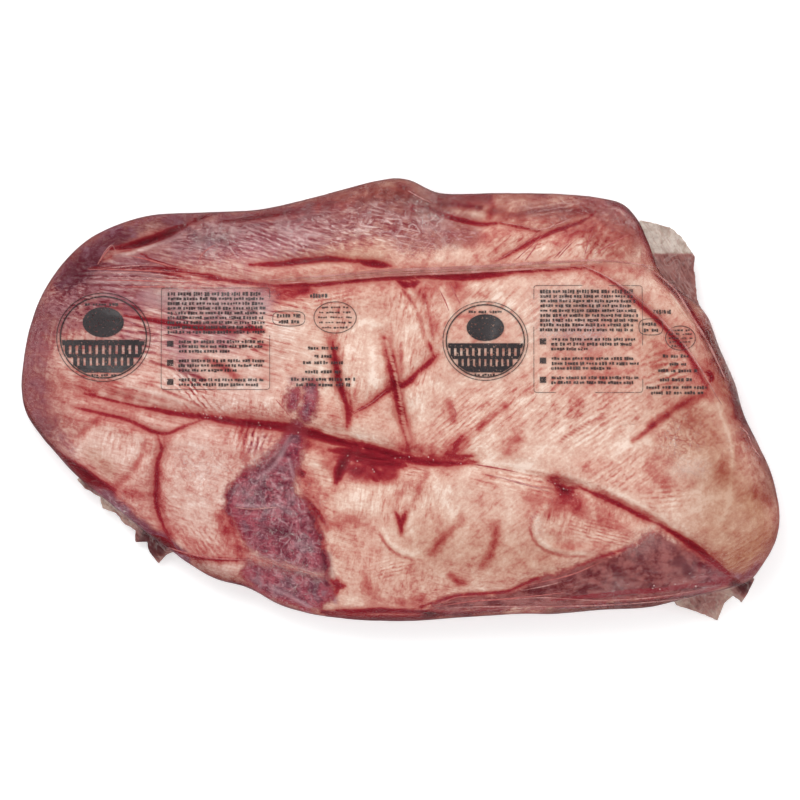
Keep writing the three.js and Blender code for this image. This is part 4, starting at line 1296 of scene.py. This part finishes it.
class BrisketMeat(bpy.types.Operator):
    """Builds the meat with its fat cap, valleys and stains"""
    bl_idname = "brisket.meat"
    bl_label = "Meat"

    def execute(self, context):
        look = context.scene.brisket_meat
        f = form()
        spots, inward = f["spots"], f["inward"]
        points = f["points"] + f["normals"] * (f["meat"] - look.inset)[:, None]
        slack = np.zeros(len(points))
        for reach, far, path in SLACK:
            near, gap, _ = beside(spots, smooth(path, 12), 2 * reach)
            slack[near] = np.maximum(slack[near], far * MM * fading(gap, reach))
        level = f["normals"].copy()
        level[:, 2] = 0
        points -= level * slack[:, None]
        points[:, 2] = np.maximum(points[:, 2], look.inset)

        mesh = make_mesh("brisket_meat", points, f["faces"])
        juice = np.full(len(spots), -float(FAR))
        for _, _, half, path in CREASES:
            if half:
                add_pool(juice, spots, path, half)
        for half, path in POOLS:
            add_pool(juice, spots, path, half)
        muscle = np.full(len(spots), -float(FAR))
        for outline in MUSCLE_PATCHES:
            add_patch(muscle, spots, outline)
        under = inward <= 0
        juice[under] = muscle[under] = -FAR
        store(mesh, juice=juice, muscle=muscle)
        for name, strokes in (*TINTS.items(), *STREAKS.items()):
            values = np.zeros(len(spots))
            for reach, strength, path in strokes:
                add_tint(values, spots, path, reach, strength)
            values[under] = 0
            store(mesh, **{name: values})
        # The rim layer marks where painted shade and pooled juice darken the top near its edge.
        begins, darkest, ends = RIM_SHADE_AND_JUICE
        rim = smoothstep(inward, begins, darkest) * smoothstep(inward, ends, darkest)
        store(mesh, lean=smoothstep(inward, *LEAN), rim=rim, **f["marks"])
        piece = add_piece("brisket_meat", mesh, meat_material(look))
        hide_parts(NODE)
        return {"FINISHED"}


class BrisketFilm(bpy.types.Operator):
    """Builds the clear film that clings to the meat"""
    bl_idname = "brisket.film"
    bl_label = "Film"

    def execute(self, context):
        look = context.scene.brisket_film
        inset = context.scene.brisket_meat.inset
        f = form()
        spots = f["spots"]
        points = f["points"] + f["normals"] * (f["film"] - inset)[:, None]
        points[:, 2] = np.maximum(points[:, 2], 0)
        mesh = make_mesh("bag_film", points, f["faces"])
        cloud = np.zeros(len(spots))
        for reach, strength, path in CLOUDS:
            add_tint(cloud, spots, path, reach, strength)
        store(mesh, cloud=cloud * (f["inward"] > 0), **f["marks"])
        material = film_material("clear film", look.cloud, "d9b5b0", 0.0, look.roughness)
        piece = add_piece("bag_film", mesh, material)
        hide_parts(NODE)
        return {"FINISHED"}


class BrisketEars(bpy.types.Operator):
    """Builds the three ears of spare film that stand out from the pack"""
    bl_idname = "brisket.ears"
    bl_label = "Film ears"

    # name and height of the ripples in mm, then the root and the free edge: places with heights in mm
    ears = (
        ("seal_tail", 2.0, ((622, 236, 34), (652, 285, 34), (682, 332, 33), (698, 350, 33)),
         ((640, 221, 33), (652, 224, 32), (669, 228, 26), (681, 237, 21), (690, 250, 16), (695, 256, 13),
          (694, 268, 12), (696, 285, 14), (697, 300, 19), (704, 318, 25), (710, 334, 30))),
        ("corner_ear", 1.3, ((668, 590, 22), (705, 583, 22), (741, 565, 23)),
         ((676, 606, 20), (700, 614, 12), (718, 622, 4), (725, 604, 8), (733, 597, 12), (742, 603, 14),
          (747, 595, 17), (754, 580, 23))),
        ("thin_end_ear", 2.4, ((90, 470, 17), (122, 500, 17), (150, 526, 17), (178, 550, 18)),
         ((76, 480, 17), (85, 490, 15), (98, 497, 11), (101, 509, 8), (115, 514, 10), (124, 526, 7),
          (134, 531, 9), (134, 543, 5), (146, 543, 8), (148, 553, 7), (157, 565, 4), (165, 556, 9),
          (172, 553, 14))),
    )

    # where juice has run between the ears' layers: place, reach in steps, strength
    stains = (((152, 542), 20, 1.6), ((125, 512), 24, 0.4), ((92, 488), 12, 0.7), ((744, 586), 12, 1.3),
              ((704, 598), 24, 0.65))

    def execute(self, context):
        half = context.scene.brisket_film.ear_thickness / 2
        rows, columns = 26, 110
        loose = np.repeat(np.linspace(0, 1, rows + 1), columns + 1)[:, None]
        for number, (name, ripple, root, edge) in enumerate(self.ears):
            sides = []
            for line in (root, edge):
                run = np.cumsum([0.0, *(math.dist(a, b) for a, b in zip(line[:-1], line[1:]))])
                at = np.linspace(0, run[-1], columns + 1)
                side = np.column_stack([np.interp(at, run, numbers) for numbers in zip(*line)])
                sides.append(np.tile(side, (rows + 1, 1)))
            flat = sides[0] + loose * (sides[1] - sides[0])
            sheet = np.column_stack([*place(flat[:, 0], flat[:, 1]), flat[:, 2] * MM])
            wave = fractal(sheet + number, 9 * MM, 3) + 0.6 * np.abs(fractal(sheet - number, 4 * MM, 2))
            sheet[:, 2] += ripple * MM * wave * np.sin(0.75 * np.pi * loose[:, 0])
            sheet[:, :2] += (fractal(sheet + 5, 4 * MM, 2) * 0.5 * MM)[:, None] * loose
            upper, lower = sheet + (0, 0, half), sheet - (0, 0, half)
            lower[:, 2] = np.maximum(lower[:, 2], 0.3 * MM)
            upper[:, 2] = np.maximum(upper[:, 2], lower[:, 2] + half)
            points = np.vstack([upper, lower])
            mesh = make_mesh(name, points, plate_faces(rows, columns))
            if sum(face.center.dot(face.normal) * face.area for face in mesh.polygons) < 0:
                mesh.flip_normals()
            spots = spots_of(points)
            juicy = np.full(len(points), 0.1)
            for at, reach, strength in self.stains:
                juicy = np.maximum(juicy, strength * mound(spots, at, reach))
            if name == "seal_tail":
                juicy = np.maximum(juicy, 0.7 * smoothstep(spots[:, 1], 252, 256))
            phase, gather = gathers_of(spots)
            store(mesh, phase=phase, gather=gather, crumple=0.5, juicy=juicy)
            add_piece(name, mesh, spare_film_material(name))
        return {"FINISHED"}


class BrisketFolds(bpy.types.Operator):
    """Builds the raised folds of the film, swept along their paths"""
    bl_idname = "brisket.folds"
    bl_label = "Film folds"

    def execute(self, context):
        look = context.scene.brisket_film
        mesh = path_mesh("fold paths", FOLDS)
        values = {"Surface": bpy.data.objects["bag_film"], "Lift": 0.0, "Sides": 8,
                  "Unevenness": 1.2, "Seed": 3.0,
                  "Material": film_material("folded film", "e6aca6", "c67c78", 0.3, look.roughness)}
        piece = run_tree("film_folds", strand_tree("Film folds"), mesh, values)
        store(piece.data, cloud=0.2, phase=0, gather=0, crumple=0)
        return {"FINISHED"}


class BrisketJuice(bpy.types.Operator):
    """Builds the thin lines of juice and the bubbles under the film"""
    bl_idname = "brisket.juice"
    bl_label = "Juice lines and bubbles"

    def execute(self, context):
        look = context.scene.brisket_meat
        mesh = path_mesh("juice paths", RUNS)
        values = {"Surface": bpy.data.objects["brisket_meat"], "Lift": 0.0, "Sides": 8,
                  "Unevenness": 1.8, "Seed": 11.0,
                  "Material": plain_wet_material("juice lines", look.juice, "c26a62", 0.3)}
        run_tree("juice_lines", strand_tree("Juice lines"), mesh, values)
        self.bubbles()
        return {"FINISHED"}

    @staticmethod
    def bubbles():
        draw = random.Random(5)
        points, sizes = [], []
        for path, count, spread in BUBBLES:
            line = smooth(path, 50)
            for _ in range(count):
                x, y = (value + draw.uniform(-spread, spread) for value in line[draw.randrange(len(line))])
                points.append((*place(x, y), 0))
                sizes.append(draw.uniform(0.2, 0.45) * MM)
        mesh = bpy.data.meshes.new("bubble places")
        mesh.from_pydata(points, [], [])
        store(mesh, size=sizes)
        t = Tree("Bubbles", Flatness="Float")
        ball = t.out("GeometryNodeMeshIcoSphere", {"Radius": 1.0, "Subdivisions": 2})
        wide = t.number("size")
        scale = t.combine(wide, wide, t.times(wide, t.inputs["Flatness"]))
        tree = t.finish(t.stamped(t.laid_on(t.inputs["Geometry"]), ball, scale))
        s = Shader("bubble")
        material = s.finish(s.body({
            "Base Color": s.mix(s.noise(1 * MM), "f6e6e0", "e8b8b0"), "Roughness": 0.1}))
        values = {"Surface": bpy.data.objects["bag_film"], "Lift": 0.0, "Flatness": 0.5, "Material": material}
        run_tree("bubbles", tree, mesh, values)


class BrisketPrint(bpy.types.Operator):
    """Builds the bag's print: framed rows of blocks, ringed badges and small marks"""
    bl_idname = "brisket.print"
    bl_label = "Print"

    # the print is stamped twice: frame, badge, pill, ring, as middle and half sizes in steps
    stamps = (
        {"frame": (216, 339.5, 54, 50.5), "badge": (104, 338, 47, 44), "pill": (289, 319.5, 16, 7.5),
         "ring": (335, 318.5, 21, 15.5), "word": (318.5, 297), "lines": (323, 368)},
        {"frame": (586, 340, 54, 53), "badge": (484, 342, 42, 39), "pill": (648.5, 328, 12, 8),
         "ring": (678, 339, 15, 12), "word": (660, 313), "lines": (675, 376)},
    )

    row_count = 20  # rows of small print in a frame, with the empty ones
    empty_rows = (9, 13, 17)
    short_rows = (12, 16)
    marked_rows = (10, 14, 18)  # a square stands before them
    row_rise = 4.75  # steps from a row to the next
    ragged_start = 0.0  # steps by which the rows' starts differ

    @staticmethod
    def oval(x, y, half_x, half_y, count=60, power=2.0):
        """A closed line that is an oval at power 2, and squarer above it."""
        turn = np.linspace(0, 2 * np.pi, count, endpoint=False)
        c, s = np.cos(turn), np.sin(turn)
        return np.column_stack([x + half_x * np.sign(c) * np.abs(c) ** (2 / power),
                                y + half_y * np.sign(s) * np.abs(s) ** (2 / power)])

    def outlines(self, line_width):
        """The frames, badges, pills and rings as closed edges."""
        points, edges, halves = [], [], []
        for stamp in self.stamps:
            x, y, half_x, half_y = stamp["badge"]
            for weight, line in (
                    (0.55, self.oval(*stamp["frame"], 300, 44)), (0.8, self.oval(*stamp["badge"], 120)),
                    (1.5, self.oval(x, y, 0.92 * half_x, 0.92 * half_y, 120)),
                    (0.7, self.oval(*stamp["pill"], 60, 3)), (0.8, self.oval(*stamp["ring"], 80))):
                first = len(points)
                points += [(*place(x, y), 0) for x, y in line]
                halves += [weight] * len(line)
                edges += [(first + i, first + (i + 1) % len(line)) for i in range(len(line))]
        mesh = bpy.data.meshes.new("print outlines")
        mesh.from_pydata(points, edges, [])
        store(mesh, half_width=np.array(halves) * line_width)
        return mesh

    def rows(self, seed):
        """Places of the blocks that stand for small print: middles and half sizes in steps."""
        draw = random.Random(seed)
        blocks = []

        def row(left, right, y, half_y, gap=2.2):
            x = left + draw.uniform(0, self.ragged_start)
            while x < right - 2:
                width = min(draw.uniform(4, 15), right - x)
                letters = max(1, round(width / 2.7))
                half = width / letters / 2
                for letter in range(letters):
                    blocks.append((
                        x + (2 * letter + 1) * half + draw.uniform(-0.25, 0.25), y + draw.uniform(-0.3, 0.3),
                        half * draw.uniform(0.6, 0.95), half_y * draw.uniform(0.6, 1.05)))
                x += width + gap

        for stamp in self.stamps:
            x, y, half_x, half_y = stamp["frame"]
            top = y - half_y + 6
            for number in range(self.row_count):
                if number in self.empty_rows:
                    continue
                left = x - half_x + (6 if number < self.empty_rows[0] else 17)
                right = x + half_x - draw.choice((4, 6, 9, 4))
                if number in self.short_rows:
                    right -= draw.uniform(20, 45)
                row(left, right, top + number * self.row_rise, 1.6 if number else 2.0, gap=1.5)
            for number in self.marked_rows:
                blocks.append((x - half_x + 9, top + number * self.row_rise + 2, 3.2, 3))
            x, y, half_x, half_y = stamp["ring"]
            for number in (-2, -1, 0, 1, 2):
                reach = half_x * math.sqrt(1 - (number / 3.1) ** 2) * 0.82
                row(x - reach, x + reach, y + number * half_y / 3.1, 0.9)
            x, y, half_x, half_y = stamp["pill"]
            row(x - 0.75 * half_x, x + 0.75 * half_x, y - 0.38 * half_y, 1.8)
            row(x - 0.65 * half_x, x + 0.65 * half_x, y + 0.42 * half_y, 1.8)
            x, y = stamp["word"]
            row(x - 9, x + 9, y, 2.3, gap=0.6)
            x, y = stamp["lines"]
            for rise, reach in ((-19, 15), (-11, 9), (-4.5, 20), (4.5, 18), (12, 32), (17.5, 27)):
                row(x - reach, x + reach, y + rise, 1.7)
            x, y, half_x, half_y = stamp["badge"]
            row(x - 0.4 * half_x, x + 0.4 * half_x, y - 0.74 * half_y, 1.3)
            row(x - 0.26 * half_x, x + 0.3 * half_x, y + 0.86 * half_y, 1.1)
        return np.array(blocks)

    def panels(self, thickness):
        """Each badge's dark disc and its dark foot with pale blocks, cut fine enough to follow the film."""
        points, faces = [], []

        def slab(across, down, corners):
            """A plate whose corners are shares of the badge's half sizes, worked out from -1 to 1."""
            u = np.tile(2 * np.arange(across + 1) / across - 1, down + 1)
            v = np.repeat(2 * np.arange(down + 1) / down - 1, across + 1)
            right, low = corners(u, v)
            faces.append(plate_faces(down, across) + sum(map(len, points)))
            for level in (0, thickness):
                plan = place(x + half_x * right, y + half_y * low)
                points.append(np.column_stack([*plan, np.full(len(u), level)]))

        def band(low, high):
            """The part of a disc between two levels."""
            def corners(u, v):
                level = low + (high - low) * (v + 1) / 2
                return 0.89 * u * np.sqrt(1 - (level / 0.89) ** 2), level
            slab(24, 2, corners)

        for stamp in self.stamps:
            x, y, half_x, half_y = stamp["badge"]
            slab(14, 12, lambda u, v: (
                0.44 * u * np.sqrt(1 - v * v / 2), 0.34 * v * np.sqrt(1 - u * u / 2) - 0.34))
            for low, high in ((0.06, 0.18), (0.38, 0.46), (0.64, 0.8)):
                band(low, high)
            for low, high, reach, count in ((0.18, 0.38, 0.78, 11), (0.44, 0.64, 0.6, 9)):
                for middle in reach * (2 * np.arange(count + 1) / count - 1):
                    slab(2, 2, lambda u, v: (middle + 0.042 * u, low + (high - low) * (v + 1) / 2))
        return make_mesh("print panels", np.vstack(points), np.vstack(faces))

    def execute(self, context):
        look = context.scene.brisket_print
        wrap = {"Surface": bpy.data.objects["bag_film"], "Lift": 0.1 * MM, "Thickness": look.thickness,
                "Material": ink_material("worn ink", look.ink, 0.56)}
        t = Tree("Printed lines")
        profile = t.out("GeometryNodeCurvePrimitiveQuadrilateral", {"Width": 2.0, "Height": 0.6})
        tree = t.finish(t.swept(profile, t.number("half_width")), False)
        run_tree("print_lines", tree, self.outlines(look.line), wrap)

        t = Tree("Printed blocks", Thickness="Float")
        block = t.out("GeometryNodeMeshCube", {
            "Size": (2, 2, 1), "Vertices X": 3, "Vertices Y": 2, "Vertices Z": 2})
        scale = t.combine(t.number("half_x"), t.number("half_y"), t.inputs["Thickness"])
        real = t.out("GeometryNodeRealizeInstances", {0: t.stamped(t.inputs["Geometry"], block, scale)})
        blocks = self.rows(look.seed)
        mesh = bpy.data.meshes.new("print rows")
        mesh.from_pydata([(*place(x, y), 0) for x, y in blocks[:, :2]], [], [])
        store(mesh, half_x=blocks[:, 2] * STEP, half_y=blocks[:, 3] * STEP)
        run_tree("print_blocks", t.finish(t.laid_on(real), False), mesh, wrap)

        t = Tree("Printed panels")
        wrap["Material"] = ink_material("bag ink", look.ink, 0.97)
        tree = t.finish(t.laid_on(t.inputs["Geometry"]), False)
        run_tree("print_panels", tree, self.panels(look.thickness), wrap)
        return {"FINISHED"}


class BrisketStage(bpy.types.Operator):
    """Builds the pale floor, the soft light and the camera that looks straight down"""
    bl_idname = "brisket.stage"
    bl_label = "Stage"

    def execute(self, context):
        look = context.scene.brisket_stage
        mesh = bpy.data.meshes.new("floor")
        half, below = FLOOR_SIZE / 2, -0.4 * MM  # below the pack, so that the two never share a plane
        corners = [(x * half, y * half, below) for x, y in ((-1, -1), (1, -1), (1, 1), (-1, 1))]
        mesh.from_pydata(corners, [], [(0, 1, 2, 3)])
        floor = bpy.data.objects.new("floor", mesh)
        context.scene.collection.objects.link(floor)
        s = Shader("pale floor")
        mesh.materials.append(s.finish(s.body({
            "Base Color": s.mix(s.noise(0.4), "fbfbfb", "fdfdfd"), "Roughness": 0.9,
            "Emission Color": "ffffff", "Emission Strength": look.floor_glow})))

        # soft light all round, and a dark ceiling behind the camera
        world = bpy.data.worlds.new("studio")
        world.use_nodes = True
        w = Nodes(world.node_tree)
        height = w.parts(w.add("ShaderNodeTexCoord").outputs["Generated"])["Z"]
        fade = w.out("ShaderNodeMapRange", {
            0: height, 1: CEILING[0], 2: CEILING[1], 3: look.fill, 4: 0.12 * look.fill})
        sky = w.tree.nodes["Background"]
        sky.inputs["Color"].default_value = rgba("ffffff")
        w.tree.links.new(fade, sky.inputs["Strength"])
        context.scene.world = world
        for name, at, size, power in (
                ("key", (-0.6, 1.2, 1.9), 1.2, look.key_power),
                ("rim", (1.8, -0.4, 1.2), 0.7, 0.2 * look.key_power)):
            data = bpy.data.lights.new(name, "AREA")
            data.shape = "SQUARE"
            data.size = size
            data.energy = power
            lamp = bpy.data.objects.new(name, data)
            lamp.location = at
            lamp.rotation_euler = (Vector(AIM) - Vector(at)).to_track_quat("-Z", "Y").to_euler()
            context.scene.collection.objects.link(lamp)

        rim_height = RIM_SHARE * (THIN_END + THICK_END) / 2
        camera = bpy.data.cameras.new("camera")
        camera.sensor_width = 36
        camera.lens = camera.sensor_width * (look.camera_height - rim_height) / look.field
        camera.clip_end = 50
        eye = bpy.data.objects.new("camera", camera)
        eye.location = (0, 0, look.camera_height)
        context.scene.collection.objects.link(eye)
        context.scene.camera = eye
        context.scene.view_settings.view_transform = "Standard"
        return {"FINISHED"}


class BrisketPanel(bpy.types.Panel):
    """Lists the steps that build the pack"""
    bl_idname = "BRISKET_PT_panel"
    bl_label = "Brisket"
    bl_space_type = "VIEW_3D"
    bl_region_type = "UI"
    bl_category = "Brisket"

    def draw(self, context):
        for group in SETTINGS:
            settings = getattr(context.scene, group)
            box = self.layout.box()
            for name in settings.bl_rna.properties.keys():
                if name not in ("rna_type", "name"):
                    box.prop(settings, name)
        for operator in OPERATORS:
            self.layout.operator(operator.bl_idname)


SETTINGS = {
    "brisket_meat": BrisketMeatSettings,
    "brisket_film": BrisketFilmSettings,
    "brisket_print": BrisketPrintSettings,
    "brisket_stage": BrisketStageSettings,
}
OPERATORS = (BrisketMeat, BrisketFilm, BrisketEars, BrisketFolds, BrisketJuice, BrisketPrint, BrisketStage)


def register():
    for group in (*SETTINGS.values(), *OPERATORS, BrisketPanel):
        bpy.utils.register_class(group)
    for name, group in SETTINGS.items():
        setattr(bpy.types.Scene, name, PointerProperty(type=group))


def unregister():
    for name in SETTINGS:
        delattr(bpy.types.Scene, name)
    for group in reversed((*SETTINGS.values(), *OPERATORS, BrisketPanel)):
        bpy.utils.unregister_class(group)


def main():
    register()
    for operator in OPERATORS:
        family, name = operator.bl_idname.split(".")
        getattr(getattr(bpy.ops, family), name)()
    bpy.context.view_layer.update()


if __name__ == "__main__":
    main()
